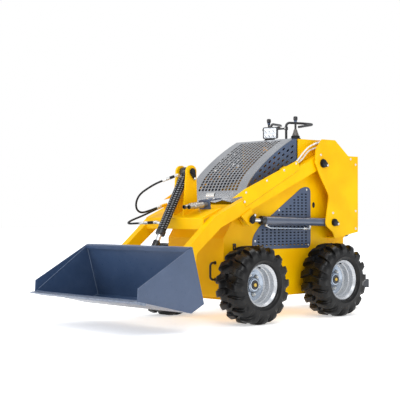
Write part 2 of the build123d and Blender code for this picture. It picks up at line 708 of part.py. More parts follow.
def boom():
    """Two box arms, their cross beam and everything welded to them."""
    arm = plate(arm_outline(), arm_inner_y, arm_outer_y, [0, 30, 40, 40, 50, 50, 40, 60, 60, 0])
    arm -= pin(*boom_pivot, boom_pin_r + pin_clearance, arm_inner_y - 1, arm_outer_y + 1)
    arm -= pin(*bucket_pivot, bucket_pin_r + pin_clearance, arm_inner_y - 1, arm_outer_y + 1)
    keep("boom_arm_left", arm)
    keep("boom_arm_right", mirror(arm, about=Plane.XZ))
    _, slope = toward(beam_rear, beam_front)
    low = beam_front[1] - beam_depth
    beam = plate([beam_rear, beam_front, (beam_front[0] + 3, beam_front[1] - 6), (beam_front[0] + 3, low),
                  (beam_front[0] - 5, low), (beam_front[0] - 5, beam_front[1] - 12),
                  along(beam_rear, slope, 0, -beam_plate)], -arm_inner_y, arm_inner_y)
    half_ear = ear_r - 2
    ear = plate([(tilt_top[0] - half_ear, tilt_top[1]), (tilt_top[0] + half_ear, tilt_top[1]),
                 along(beam_rear, slope, 132), along(beam_rear, slope, 0)], ear_inner_y, ear_inner_y + ear_plate)
    ear += pin(*tilt_top, ear_r, ear_inner_y, ear_inner_y + ear_plate)
    ear -= pin(*tilt_top, tilt_pin_r, 0, 2 * ear_inner_y + ear_plate)
    for piece in [*both_sides(ear), beam_elbow(tilt_hose_upper), beam_elbow(tilt_hose_lower)]:
        beam += piece
    keep("boom_crossbeam", beam)
    lug_outer = plate([(438, 706), (363, 642), (330, 645), (312, 663), (342, 756)], arm_outer_y,
                      arm_outer_y + clevis_plate, [0, 10, 20, 15, 0])
    lug_inner = plate([(440, 735), (363, 642), (330, 645), (312, 663), (325, 780)], arm_inner_y,
                      arm_inner_y + clevis_plate, [0, 10, 20, 15, 0]) - arm
    play = lift_eye_width / 2 + 1
    stub_out = pin(*lift_front, lift_pin_r, lift_y + play, arm_outer_y + clevis_plate + pin_head)
    stub_in = pin(*lift_front, lift_pin_r, arm_inner_y, lift_y - play)
    keep("lift_brackets", *both_sides(lug_outer + stub_out, lug_inner + stub_in))
    guard = plate([(389, 768), (420, 837), (515, 822), (401, 883), (-123, 1094), (-140, 1030)],
                  arm_outer_y, arm_outer_y + guard_sheet, [0, 14, 0, 0, 20, 0])
    tail = (arm_hose_upper[-1][0], arm_hose_upper[-1][2])
    crest = along(boom_pivot, arm_slope, -arm_tail, arm_above_pivot)
    _, fall = toward(crest, knee_top)
    drop = (tail[1] - crest[1]) * cos(radians(fall)) - (tail[0] - crest[0]) * sin(radians(fall))
    anchor = plate([along(tail, fall, hose_end_gap, 16), along(tail, fall, 50, 16),
                    along(tail, fall, 50, -drop), along(tail, fall, hose_end_gap, -drop)],
                   arm_inner_y, arm_outer_y)
    keep("hose_guards", guard + anchor, mirror(guard, about=Plane.XZ))
    _, aim = toward(coupler_base, coupler_tip)
    y0, y1 = coupler_y - bracket_half, coupler_y + bracket_half
    web = plate([along(coupler_base, aim, -bracket_sheet, 26), along(coupler_base, aim, 0, 26),
                 along(coupler_base, aim, 0, -60), along(coupler_base, aim, -bracket_sheet, -60)], y0, y1)
    shelf = plate([along(coupler_base, aim, 0, 26), along(coupler_base, aim, 0, 19), along(coupler_base, aim, -112, 19),
                   along(coupler_base, aim, -112, 26)], y0, y1)
    below = plate([along(beam_rear, slope, -80), along(beam_rear, slope, 160), along(beam_rear, slope, 160, -90),
                   along(beam_rear, slope, -80, -90)], y0 - 1, y1 + 1)
    keep("coupler_bracket", web + shelf - below)
    couplers = [axial(coupler_base, aim, coupler_y + side * coupler_spacing / 2, [(0, 34, 13), (34, 112, 19),
                                                                                 (112, 164, 14)])
                for side in (-1, 1)]
    keep("quick_couplers", *couplers)
    reach = ear_inner_y + ear_plate + pin_head
    keep("boom_pins", pin(*tilt_top, tilt_pin_r, -reach, reach))


# ---------------------------------------------------------------- cylinders
def lift_cylinders():
    """Two lift cylinders under the arms, each with its steel feed tube."""
    length, slope = toward(lift_rear, lift_front)
    neck = lift_barrel_length - lift_gland
    root = lift_eye_r - 6
    barrel = axial(lift_rear, slope, lift_y, [(root, root + 14, lift_barrel_r + 4), (root + 14, neck, lift_barrel_r),
                                              (neck, lift_barrel_length, lift_barrel_r + 3)])
    eye = (lift_y - lift_eye_width / 2, lift_y + lift_eye_width / 2)
    barrel += pin(*lift_rear, lift_eye_r, *eye)
    stations = [(neck - 24, 0), (neck - 24, -feed_tube_drop * 0.7), (neck - 60, -feed_tube_drop),
                (210, -feed_tube_drop), (210, 0)]
    points = [along(lift_rear, slope, distance, rise) for distance, rise in stations]
    barrel += bent_bar([(x, lift_y, z) for x, z in points], feed_tube_r, tube_sides)
    barrel -= axial(lift_rear, slope, lift_y, [(60, lift_barrel_length + 1, lift_rod_r + pin_clearance)])
    barrel -= pin(*lift_rear, lift_pin_r + pin_clearance, eye[0] - 1, eye[1] + 1)
    rod = axial(lift_rear, slope, lift_y, [(180, length - lift_eye_r + 8, lift_rod_r)])
    rod += pin(*lift_front, lift_eye_r, *eye)
    rod -= pin(*lift_front, lift_pin_r + 1, eye[0] - 1, eye[1] + 1)
    for side, shapes in (("left", (barrel, rod)), ("right", tuple(mirror(s, about=Plane.XZ) for s in (barrel, rod)))):
        keep(f"lift_barrel_{side}", shapes[0])
        keep(f"lift_rod_{side}", shapes[1])


def barrel_elbow(hose, station, slope):
    """The elbow on the tilt barrel whose mouth meets a hose's first point."""
    aim = aim_of(hose[0], hose[1])
    mouth = Vector(*hose[0]) - aim * hose_end_gap
    corner = mouth - aim * 88
    x, z = along(tilt_top, slope, station)
    return bent_bar([(x, 0, z), tuple(corner), tuple(mouth)], fitting_r)


def tilt_cylinder():
    """The tilt cylinder between the ears and the hitch, with its ports and feed tube."""
    length, slope = toward(tilt_top, tilt_low)
    half = tilt_eye_width / 2
    neck = tilt_barrel_length - 30
    barrel = axial(tilt_top, slope, 0, [(0, neck, tilt_barrel_r), (neck, tilt_barrel_length, tilt_barrel_r + 3)])
    barrel += pin(*tilt_top, tilt_eye_r, -half, half)
    barrel += barrel_elbow(tilt_hose_upper, tilt_port_top, slope)
    barrel += barrel_elbow(tilt_hose_lower, tilt_port_low, slope)
    barrel -= axial(tilt_top, slope, 0, [(70, tilt_barrel_length + 1, tilt_rod_r + pin_clearance)])
    barrel -= pin(*tilt_top, tilt_pin_r + pin_clearance, -half - 1, half + 1)
    keep("tilt_barrel", barrel)
    eye_side = length - tilt_eye_r + 8
    rod = axial(tilt_top, slope, 0, [(95, eye_side, tilt_rod_r), (length - tilt_end_length, eye_side, tilt_end_r)])
    rod += pin(*tilt_low, tilt_eye_r, -half, half)
    rod -= pin(*tilt_low, tilt_pin_r + 1, -half - 1, half + 1)
    keep("tilt_rod", rod)


# ---------------------------------------------------------------- hoses
def hoses():
    """Four hydraulic hoses, each one bent tube along the corners of its route."""
    # name, route, diameter
    for name, route, diameter in (("tilt_hose_upper", tilt_hose_upper, tilt_hose_d),
                                  ("tilt_hose_lower", tilt_hose_lower, tilt_hose_d),
                                  ("arm_hose_upper", arm_hose_upper, arm_hose_d),
                                  ("arm_hose_lower", arm_hose_lower, arm_hose_d)):
        runs = [(Vector(*b) - Vector(*a)) for a, b in zip(route, route[1:])]
        bends = [0.45 * min(a.length, b.length) / tan(radians(a.get_angle(b)) / 2) for a, b in zip(runs, runs[1:])]
        print(name, "bends", [round(bend) for bend in bends])
        keep(name, tube(route, bends, diameter / 2))
    keep("arm_hose_elbows", wall_elbow(arm_hose_upper), wall_elbow(arm_hose_lower))


# ---------------------------------------------------------------- bucket
def bucket():
    """The dozer-sided bucket, its cutting edge and the hitch behind it."""
    length, slope = toward(bucket_low_rear, bucket_top_rear)
    _, floor_slope = toward(bucket_floor_rear, bucket_floor_front)
    floor_front = bucket_floor_front
    inner_half = bucket_half - bucket_side_plate
    shell = plate([bucket_top_rear, bucket_low_rear, bucket_floor_rear, floor_front,
                   along(floor_front, floor_slope, 0, bucket_plate),
                   along(bucket_floor_rear, floor_slope, -2, bucket_plate),
                   (bucket_low_rear[0] + bucket_plate, bucket_low_rear[1] + 3),
                   along(bucket_top_rear, slope, 0, -bucket_plate)], -inner_half, inner_half)
    lip = plate([bucket_top_rear, along(bucket_top_rear, slope, 0, -bucket_lip[0] - bucket_plate),
                 along(bucket_top_rear, slope, -bucket_lip[1], -bucket_lip[0] - bucket_plate),
                 along(bucket_top_rear, slope, -bucket_lip[1])], -inner_half, inner_half)
    keep("bucket_shell", shell + lip)
    side = plate([bucket_top_rear, bucket_low_rear, bucket_floor_rear, floor_front, bucket_side_front],
                 inner_half, bucket_half)
    keep("bucket_sides", *both_sides(side))
    tip = along(floor_front, floor_slope, cutting_edge_reach, -cutting_edge_droop)
    edge = plate([along(floor_front, floor_slope, -cutting_edge_lap, -cutting_edge_thickness),
                  along(floor_front, floor_slope, -cutting_edge_lap), along(floor_front, floor_slope, 12), tip,
                  along(floor_front, floor_slope, cutting_edge_reach - 4, -cutting_edge_thickness)],
                 -bucket_half, bucket_half)
    keep("cutting_edge", edge)
    hitch = plate([along(bucket_low_rear, slope, 30, 0), along(bucket_low_rear, slope, 300, 0),
                   along(bucket_low_rear, slope, 300, hitch_plate), along(bucket_low_rear, slope, 30, hitch_plate)],
                  -hitch_half, hitch_half)
    ears = []
    x, z = bucket_pivot
    for y0, y1 in ((arm_inner_y - hitch_ear_gap - hitch_ear, arm_inner_y - hitch_ear_gap),
                   (arm_outer_y + hitch_ear_gap, arm_outer_y + hitch_ear_gap + hitch_ear)):
        ear = plate([along(bucket_low_rear, slope, 40, 4), (x - 5, z - 36), (x - 36, z - 5), (x - 34, z + 20),
                     along(bucket_low_rear, slope, 200, 4)], y0, y1)
        ears.append(ear - pin(*bucket_pivot, bucket_pin_r, y0 - 1, y1 + 1))
    x, z = tilt_low
    half = tilt_eye_width / 2
    mid = plate([along(bucket_low_rear, slope, 215, 4), (x - 20, z - 30), (x - 36, z), (x - 20, z + 32),
                 (x + 20, z + 34), along(bucket_low_rear, slope, 298, 4)], half + 6, half + 22)
    ears.append(mid + pin(*tilt_low, tilt_pin_r, half + 1, half + 22 + pin_head))
    solid = hitch
    for piece in both_sides(*ears):
        solid += piece
    keep("hitch_plate", solid)
    reach = hitch_ear_gap + hitch_ear + pin_head
    keep("bucket_pins", *both_sides(pin(*bucket_pivot, bucket_pin_r, arm_inner_y - reach, arm_outer_y + reach)))


def build_all():
    """Make every node and write one STEP file each."""
    for section in (wheels, main_frame, side_grilles, engine, hood, hood_sides, towers, rear_panel, controls,
                    platform, boom, lift_cylinders, tilt_cylinder, hoses, bucket):
        section()
    os.makedirs("parts", exist_ok=True)
    for name, shape in nodes.items():
        export_step(shape, f"parts/{name}.step")


build_all()
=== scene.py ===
"""Stand-on mini skid steer loader: the visible model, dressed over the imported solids.

Sizes are millimetres from the middle of the wheelbase: X forward, Y to the machine's left, Z up from the
ground. Only metres() turns them into the frame's metres.
"""

import logging
from dataclasses import dataclass, field
from enum import Enum
from typing import Callable, Iterable, Optional, Sequence, Union

import bpy
import numpy as np
from mathutils import Matrix, Vector


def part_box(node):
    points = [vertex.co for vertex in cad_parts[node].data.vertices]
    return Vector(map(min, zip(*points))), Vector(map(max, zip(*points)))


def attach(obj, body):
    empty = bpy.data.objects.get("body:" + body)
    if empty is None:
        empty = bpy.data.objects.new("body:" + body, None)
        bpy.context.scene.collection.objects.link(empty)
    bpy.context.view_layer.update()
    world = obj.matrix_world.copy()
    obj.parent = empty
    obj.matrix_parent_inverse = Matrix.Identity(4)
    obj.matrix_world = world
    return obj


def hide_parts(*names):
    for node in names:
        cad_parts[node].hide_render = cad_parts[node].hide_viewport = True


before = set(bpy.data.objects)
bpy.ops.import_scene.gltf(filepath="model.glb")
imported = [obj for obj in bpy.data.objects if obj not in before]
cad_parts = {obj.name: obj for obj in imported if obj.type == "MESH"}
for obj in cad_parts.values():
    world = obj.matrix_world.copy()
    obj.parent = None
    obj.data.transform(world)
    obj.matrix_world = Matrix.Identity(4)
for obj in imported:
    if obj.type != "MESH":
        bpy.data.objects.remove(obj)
LOG = logging.getLogger("loader")
Array = np.ndarray
Point = Sequence[float]
Profile = Sequence[Sequence[float]]
Socket = bpy.types.NodeSocket

MM = 1000.0  # millimetres in a metre
ORIGIN = (0.0, 0.0, 0.0)
FORWARD = (1.0, 0.0, 0.0)
LEFTWARD = (0.0, 1.0, 0.0)
UPWARD = (0.0, 0.0, 1.0)


class Side(Enum):
    """A side of the machine, with the sign of its Y."""

    LEFT = 1
    RIGHT = -1


class Corner(Enum):
    """A wheel's corner of the machine, with the signs of its X and its Y."""

    FRONT_LEFT = (1, 1)
    FRONT_RIGHT = (1, -1)
    REAR_LEFT = (-1, 1)
    REAR_RIGHT = (-1, -1)


# ------------------------------------------------------------------ places
def middle_of_wheelbase() -> float:
    """Find the middle between the two axles.

    Returns:
        The X, in metres, half way between the front and the rear axle.
    """
    tyres = ("tyre_front_left", "tyre_rear_left")
    front, rear = (np.mean([corner[0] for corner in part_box(node)]) for node in tyres)
    return float((front + rear) / 2)


DATUM = np.array([middle_of_wheelbase(), 0.0, 0.0])


def metres(points: Array) -> Array:
    """Turn millimetres from the middle of the wheelbase into metres of the frame."""
    return np.asarray(points, float) / MM + DATUM


# ------------------------------------------------------------------ surfaces
@dataclass
class Surface:
    """A mesh under way: corner places in millimetres, and faces as rows of corner numbers."""

    points: Array
    faces: list[Array] = field(default_factory=list)

    def __add__(self, other: "Surface") -> "Surface":
        """Join two surfaces into one, the second's corner numbers moved up."""
        moved = [rows + len(self.points) for rows in other.faces]
        return Surface(np.vstack([self.points, other.points]), self.faces + moved)

    def moved(self, x: float = 0.0, y: float = 0.0, z: float = 0.0) -> "Surface":
        """Return the surface moved by a distance."""
        return Surface(self.points + np.array([x, y, z]), self.faces)

    def flipped(self) -> "Surface":
        """Return the surface with every face turned to point the other way."""
        return Surface(self.points, [rows[:, ::-1] for rows in self.faces])

    def mirrored(self) -> "Surface":
        """Return the surface on the machine's other side, its faces turned to point outwards again."""
        return Surface(self.points * np.array([1.0, -1.0, 1.0]), self.faces).flipped()

    def both_sides(self) -> "Surface":
        """Return the surface and its mirror image."""
        return self + self.mirrored()

    def repeated(self, places: Array) -> "Surface":
        """Copy the surface to every place, as one block of points and one of faces.

        Args:
            places: rows of the distances that the copies are moved by.

        Returns:
            All the copies as one surface.
        """
        places = np.atleast_2d(np.asarray(places, float))
        count, size = len(places), len(self.points)
        points = (self.points[None] + places[:, None]).reshape(-1, 3)
        steps = np.arange(count) * size
        faces = [(rows[None] + steps[:, None, None]).reshape(-1, rows.shape[1]) for rows in self.faces]
        return Surface(points, faces)


def joined(parts: Iterable[Surface]) -> Surface:
    """Join any number of surfaces into one.

    Args:
        parts: the surfaces, at least one.

    Returns:
        The whole.
    """
    parts = list(parts)
    whole = parts[0]
    for part in parts[1:]:
        whole = whole + part
    return whole


def grid(points: Array, wrap_rows: bool = False, wrap_columns: bool = False) -> Surface:
    """Make a surface from a grid of points.

    Each face joins grid place (i, j) to (i+1, j), (i+1, j+1) and (i, j+1).

    Args:
        points: array of rows x columns x 3.
        wrap_rows: whether the last row joins the first.
        wrap_columns: whether the last column joins the first.

    Returns:
        The surface of quads.
    """
    rows, columns = points.shape[:2]
    i = np.arange(rows if wrap_rows else rows - 1)[:, None]
    j = np.arange(columns if wrap_columns else columns - 1)[None]
    ahead, beside = (i + 1) % rows, (j + 1) % columns
    quads = np.stack([i * columns + j, ahead * columns + j, ahead * columns + beside,
                      i * columns + beside], -1)
    return Surface(points.reshape(-1, 3), [quads.reshape(-1, 4)])


def unit(vectors: Array) -> Array:
    """Scale vectors, along their last axis, to length one."""
    return vectors / np.maximum(np.linalg.norm(vectors, axis=-1, keepdims=True), 1e-12)


def turned(profile: Profile, centre: Point = ORIGIN, axis: Point = LEFTWARD, sides: int = 32) -> Surface:
    """Carry a profile round an axis.

    A point at radius r and height h along the axis goes to centre + h*axis + r*(cos a * u + sin a * v),
    where u and v are square to the axis. A radius of 0 becomes a hair's breadth, so that no face has
    two corners in one place.

    Args:
        profile: rows of (radius, height); a radius of 0 closes the end.
        centre: the place of height 0.
        axis: direction of the axis.
        sides: number of steps round.

    Returns:
        The closed or open surface of revolution.
    """
    shape = np.asarray(profile, float)
    direction = unit(np.asarray(axis, float))
    helper = np.array(UPWARD if abs(direction[2]) < 0.9 else FORWARD)
    u = unit(np.cross(helper, direction))
    v = np.cross(direction, u)
    angle = np.arange(sides) * 2 * np.pi / sides
    ring = np.cos(angle)[:, None] * u + np.sin(angle)[:, None] * v
    points = (np.asarray(centre, float) + shape[None, :, 1, None] * direction
              + np.maximum(shape[None, :, 0, None], 1e-4) * ring[:, None])
    return grid(points, wrap_rows=True)


def carried(path: Array, section: Array, up: Point = LEFTWARD, swell: Optional[Array] = None,
            capped: bool = True) -> Surface:
    """Carry a closed flat section along a path.

    At each path point t is the tangent, s = up x t made unit long, and w = t x s; a section point (a, b)
    goes to the path point + a*s + b*w.

    Args:
        path: rows of path points.
        section: rows of (a, b).
        up: a direction that the path never runs along.
        swell: for each path point, how many times its size the section has there.
        capped: whether the two ends are filled.

    Returns:
        The tube.
    """
    path, section = np.asarray(path, float), np.asarray(section, float)
    tangent = unit(np.gradient(path, axis=0))
    side = unit(np.cross(np.asarray(up, float), tangent))
    rise = np.cross(tangent, side)
    section = section[None] if swell is None else section[None] * swell[:, None, None]
    tube = grid(path[:, None] + section[..., :1] * side[:, None] + section[..., 1:] * rise[:, None],
                wrap_columns=True)
    if capped:
        count = section.shape[1]
        last = (len(path) - 1) * count
        tube.faces += [np.arange(count)[None, ::-1], (last + np.arange(count))[None]]
    return tube.flipped()


def circle(radius: float, sides: int = 16) -> Array:
    """Return a round section, as rows of (a, b)."""
    angle = np.arange(sides) * 2 * np.pi / sides
    return radius * np.stack([np.cos(angle), np.sin(angle)], -1)


def slab(outline: Profile, y_low: float, y_high: float) -> Surface:
    """Make a flat plate, thick along Y.

    The sum of x1*z2 - x2*z1 round the outline tells which way it runs, and so which way its faces turn.

    Args:
        outline: rows of (x, z) round the plate, either way about.
        y_low: the plate's lower side.
        y_high: its upper side.

    Returns:
        The closed plate.
    """
    shape = np.asarray(outline, float)
    count = len(shape)
    low = np.stack([shape[:, 0], np.full(count, y_low), shape[:, 1]], -1)
    high = np.stack([shape[:, 0], np.full(count, y_high), shape[:, 1]], -1)
    turn = np.sum(shape[:, 0] * np.roll(shape[:, 1], -1) - np.roll(shape[:, 0], -1) * shape[:, 1])
    i = np.arange(count)
    walls = np.stack([i, (i + 1) % count, (i + 1) % count + count, i + count], -1)
    faces = [walls, i[None, ::-1], (i + count)[None]]
    whole = Surface(np.vstack([low, high]), faces)
    return whole.flipped() if turn > 0 else whole


def box(low: Point, high: Point) -> Surface:
    """Make a rectangular block between two corners."""
    (x0, y0, z0), (x1, y1, z1) = low, high
    return slab([(x0, z0), (x1, z0), (x1, z1), (x0, z1)], y0, y1)


# ------------------------------------------------------------------ materials
def colour(code: str) -> tuple[float, float, float, float]:
    """Turn an sRGB hex code into linear light, by the standard's curve with its straight foot.

    Args:
        code: the code, such as "#F6C100".

    Returns:
        Red, green, blue and an alpha of 1.
    """
    parts = np.array([int(code[i:i + 2], 16) for i in (1, 3, 5)]) / 255
    linear = np.where(parts <= 0.04045, parts / 12.92, ((parts + 0.055) / 1.055) ** 2.4)
    return (*map(float, linear), 1.0)


@dataclass
class Recipe:
    """A material's node tree, and the calls that add to it."""

    name: str
    tree: bpy.types.NodeTree = field(init=False)
    shader: bpy.types.Node = field(init=False)
    material: bpy.types.Material = field(init=False)

    def __post_init__(self) -> None:
        """Make the material and find its shader."""
        self.material = bpy.data.materials.new(self.name)
        self.material.use_nodes = True
        self.tree = self.material.node_tree
        self.shader = self.tree.nodes["Principled BSDF"]

    def add(self, kind: str, inputs: Optional[dict[Union[int, str], object]] = None,
            **settings: object) -> bpy.types.Node:
        """Add a node, set its properties, and fill or link its inputs.

        Args:
            kind: the node's type without its common beginning.
            inputs: for each socket a value, or another node's output.
            settings: the node's properties.

        Returns:
            The node.
        """
        made = self.tree.nodes.new("ShaderNode" + kind)
        for key, value in settings.items():
            setattr(made, key, value)
        for key, value in (inputs or {}).items():
            if isinstance(value, Socket):
                self.tree.links.new(value, made.inputs[key])
            else:
                made.inputs[key].default_value = value
        return made

    def link(self, output: Socket, name: str) -> None:
        """Link an output to a socket of the shader."""
        self.tree.links.new(output, self.shader.inputs[name])

    def places(self) -> Socket:
        """Return Object coordinates."""
        return self.add("TexCoord").outputs["Object"]

    def noise(self, size_mm: float, detail: float = 3.0, rough: float = 0.5) -> Socket:
        """Return a noise whose blotches are about size_mm across."""
        return self.add("TexNoise", {"Vector": self.places(), "Scale": MM / size_mm, "Detail": detail,
                                     "Roughness": rough}).outputs["Fac"]

    def ramp(self, value: Socket, stops: Sequence[tuple[float, str]]) -> Socket:
        """Turn a value into a colour.

        Args:
            value: what the colour goes by.
            stops: rows of (place, hex code), in order.

        Returns:
            The colour.
        """
        made = self.add("ValToRGB", {"Fac": value})
        band = made.color_ramp
        while len(band.elements) < len(stops):
            band.elements.new(0.5)
        for element, (place, code) in zip(band.elements, stops):
            element.position, element.color = place, colour(code)
        return made.outputs["Color"]

    def spread(self, value: Socket, low: float, high: float, low_in: float = 0.3,
               high_in: float = 0.7) -> Socket:
        """Map a value from one range onto another."""
        return self.add("MapRange", {"Value": value, "From Min": low_in, "From Max": high_in,
                                     "To Min": low, "To Max": high}).outputs["Result"]

    def mixed(self, share: Socket, first: Union[Socket, str], second: Union[Socket, str]) -> Socket:
        """Blend two colours.

        Args:
            share: how much of the second there is.
            first: a colour, or its hex code.
            second: the other one.

        Returns:
            The blend. A Mix node of colours has its factor in socket 0, and the two in 6 and 7.
        """
        first, second = (colour(tone) if isinstance(tone, str) else tone for tone in (first, second))
        return self.add("Mix", {0: share, 6: first, 7: second}, data_type="RGBA").outputs[2]

    def bump(self, height: Socket, depth_mm: float, strength: float) -> None:
        """Give the shader a relief of depth_mm from a height value."""
        made = self.add("Bump", {"Height": height, "Distance": depth_mm / MM, "Strength": strength})
        self.link(made.outputs["Normal"], "Normal")

    def set(self, **values: float) -> None:
        """Set constant sockets of the shader; an underscore in a name stands for a space."""
        for key, value in values.items():
            self.shader.inputs[key.replace("_", " ")].default_value = value


@dataclass(frozen=True)
class Finish:
    """A finish that makes its material once and hands it out."""

    name: str

    def build(self, recipe: Recipe) -> None:
        """Add the finish's nodes to an empty recipe."""
        raise NotImplementedError

    def material(self) -> bpy.types.Material:
        """Return the material, made on first use.

        Returns:
            The material. Its name begins with "look_", because the frame holds plain ones of the record's
            own names.
        """
        known = bpy.data.materials.get("look_" + self.name)
        if known is None:
            recipe = Recipe("look_" + self.name)
            self.build(recipe)
            known = recipe.material
        return known


@dataclass(frozen=True)
class Paint(Finish):
    """Sprayed and baked paint on steel: faint mottling, fine orange peel, a little dust.

    Real orange peel is about 1 mm across, too fine to show, so it is drawn three times as coarse.
    """

    MOTTLE, FLECK, DUST, PEEL = 220, 9, 70, 3.2  # millimetres across

    tone: str
    shade: str
    dust: str
    roughness: float = 0.38
    metallic: float = 0.0
    dust_share: float = 0.12
    peel_mm: float = 0.05
    coat: float = 0.15
    sheen: float = 0.5

    def build(self, recipe: Recipe) -> None:
        """Mottle the tone, lay dust over it in soft blotches, and add the peel.

        Args:
            recipe: the empty recipe.
        """
        broad = recipe.noise(self.MOTTLE, 4)
        fine = recipe.noise(self.FLECK, 5)
        base = recipe.ramp(broad, ((0.35, self.shade), (0.62, self.tone)))
        dusty = recipe.spread(recipe.noise(self.DUST, 8, rough=0.65), 0.0, self.dust_share, 0.5, 0.78)
        recipe.link(recipe.mixed(dusty, base, self.dust), "Base Color")
        recipe.link(recipe.spread(fine, self.roughness - 0.05, self.roughness + 0.08), "Roughness")
        recipe.bump(recipe.noise(self.PEEL, 2), self.peel_mm, 0.6)
        recipe.set(Metallic=self.metallic, Coat_Weight=self.coat, Coat_Roughness=0.25,
                   Specular_IOR_Level=self.sheen)


@dataclass(frozen=True)
class Metal(Finish):
    """Bare, plated or oxidised metal: a fine grain and small stains that are rougher than the rest."""

    STAIN, FLECK = 14, 5  # millimetres across

    tone: str
    stain: str
    roughness: float = 0.3
    metallic: float = 1.0
    stain_share: float = 0.35
    grain_mm: float = 1.2
    relief_mm: float = 0.02

    def build(self, recipe: Recipe) -> None:
        """Blend stains into the tone, and vary the roughness.

        Args:
            recipe: the empty recipe.
        """
        stains = recipe.spread(recipe.noise(self.STAIN, 6, rough=0.6), 0.0, self.stain_share, 0.42, 0.7)
        recipe.link(recipe.mixed(stains, self.tone, self.stain), "Base Color")
        fine = recipe.noise(self.FLECK, 4)
        recipe.link(recipe.spread(fine, self.roughness - 0.06, self.roughness + 0.12), "Roughness")
        recipe.bump(recipe.noise(self.grain_mm, 3), self.relief_mm, 0.7)
        recipe.set(Metallic=self.metallic)


@dataclass(frozen=True)
class Rubber(Finish):
    """Moulded rubber: dark, dull, with pale dust in soft patches and a fine moulded grain."""

    PATCH, FLECK = 45, 12  # millimetres across

    tone: str
    dust: str
    roughness: float = 0.72
    dust_share: float = 0.35
    grain_mm: float = 1.6
    relief_mm: float = 0.12

    def build(self, recipe: Recipe) -> None:
        """Dust the rubber and give it its grain.

        Args:
            recipe: the empty recipe.
        """
        patches = recipe.spread(recipe.noise(self.PATCH, 7, rough=0.62), 0.0, self.dust_share, 0.38, 0.72)
        recipe.link(recipe.mixed(patches, self.tone, self.dust), "Base Color")
        fine = recipe.noise(self.FLECK, 4)
        recipe.link(recipe.spread(fine, self.roughness - 0.08, self.roughness + 0.1), "Roughness")
        recipe.bump(recipe.noise(self.grain_mm, 4), self.relief_mm, 0.6)
        recipe.set(Specular_IOR_Level=0.3)


# Machine enamel, sprayed and baked: a full, flat yellow with hardly any gloss or dust
YELLOW = Paint("yellow_paint", "#F6C100", "#EFB200", "#E8C050", dust_share=0.02, coat=0.05, sheen=0.1)
# The same enamel darkened to brown: painted shade along the guard's lower edge, standing for the shadow of
# the gap under it
GUARD_GAP_SHADE = Paint("yellow_seam_shadow", "#C08E00", "#AD7D00", "#C79A20", dust_share=0.02, coat=0.0, sheen=0.2)
# Blue-grey enamel on sheet steel: cool and satin
SLATE = Paint("slate_paint", "#41526E", "#3A4A64", "#6C788C", roughness=0.36, dust_share=0.1)
# Blue-grey enamel on the bucket: a wetter gloss, so the curved shell shows soft streaks
BUCKET = Paint("bucket_paint", "#374B6A", "#304462", "#72829A", roughness=0.32, dust_share=0.1, coat=0.4)
# Pale blue-grey enamel on the bucket's pressed edges and weld beads: a painted highlight, paler than the
# plate beside it
BUCKET_HIGHLIGHT_COAT = Paint("bucket_painted_highlight", "#6E7E98", "#5A6A84", "#9AA5B5", roughness=0.34, dust_share=0.1)
# Dark blue-grey cylinder enamel under a clear coat: long sharp highlights
DARK_SLATE = Paint("cylinder_paint", "#475266", "#3E495C", "#68738A", roughness=0.18, dust_share=0.06,
                   coat=0.9)
# Silver lacquer with metal flakes on the hood: it brightens and darkens with the curve
HOOD = Paint("hood_silver_coat", "#B2B4B7", "#A2A4A8", "#C0BEBB", roughness=0.24, metallic=0.75,
             dust_share=0.06, peel_mm=0.015)
# Silver wheel enamel: pale and even round the rim
RIM = Paint("rim_silver_coat", "#D0D2D4", "#C0C4CA", "#D6D4CF", roughness=0.28, metallic=0.35,
            dust_share=0.08)
# Silver lacquer on the pressed disc: bluish and mirror-like in its hollows
DISC = Paint("wheel_disc_coat", "#BCC6D2", "#9AA8BA", "#DCDEDF", roughness=0.22, metallic=0.75,
             dust_share=0.08)
# Black powder coat: near black with a soft sheen
BLACK = Paint("black_coat", "#17181B", "#111214", "#3C3B3A", roughness=0.36, dust_share=0.08, coat=0.3)
# Non-slip coating on the platform: dull dark grey with pale scuffs
DECK = Paint("deck_coat", "#33373E", "#2C3036", "#6E6C68", roughness=0.6, dust_share=0.25)
# Clear lamp glass with a white back: bright and glossy
LENS = Paint("lamp_lens", "#E9EDF2", "#DDE3EA", "#FFFFFF", roughness=0.12, dust_share=0.05, coat=0.8)
# Moulded nylon cone: warm mid grey, half dull
BOOT = Paint("lever_cone", "#6A655F", "#57534E", "#8A857E", roughness=0.5, dust_share=0.15)
# Sand-cast iron, oiled: dark and rough
ENGINE = Metal("cast_engine_metal", "#3A3C40", "#202123", roughness=0.55, metallic=0.6)
# Bright zinc plate: near white, with small dull spots
ZINC = Metal("zinc_plate", "#E6E6E3", "#B9B8B3", roughness=0.26, metallic=0.7)
# Yellow-passivated zinc plate: a brassy tint on nuts and caps
BRASS = Metal("yellow_zinc", "#D8B860", "#A5823A", roughness=0.3)
# Ground and hard-chromed rod: a mirror
CHROME = Metal("hard_chrome", "#E4E6E8", "#B9BCC0", roughness=0.12, stain_share=0.1)
# Turned steel, a little stained: warm grey
COUPLER = Metal("coupler_steel", "#B5B0A8", "#6F6962", roughness=0.32, metallic=0.8, stain_share=0.6)
# Cutting edge with its enamel half worn off: blue-grey patches on bare steel
WORN_STEEL = Metal("worn_edge_steel", "#8C95A5", "#4E5B70", roughness=0.42, metallic=0.7, stain_share=0.8)
# Black-oxide steel pins: nearly black, with a metal glint
PIN_STEEL = Metal("black_oxide_steel", "#1B1D20", "#2E2C2A", roughness=0.36, metallic=0.5)
# Moulded tyre rubber, new: black, with soft grey highlights on the lugs
TYRE = Rubber("tyre_rubber", "#0A0A0B", "#221F1C", roughness=0.34, dust_share=0.15)
# Extruded hose cover: black with a narrow highlight
HOSE = Rubber("hose_rubber", "#0B0B0D", "#262423", roughness=0.3, dust_share=0.1)
# White woven hose sleeve: off-white, dull
WHITE_HOSE = Rubber("white_hose_sleeve", "#E4E2DA", "#B8B2A4", roughness=0.5, dust_share=0.3)
# Moulded bellows rubber: black and dull
BELLOWS = Rubber("bellows_rubber", "#141517", "#333230", roughness=0.5, dust_share=0.12)
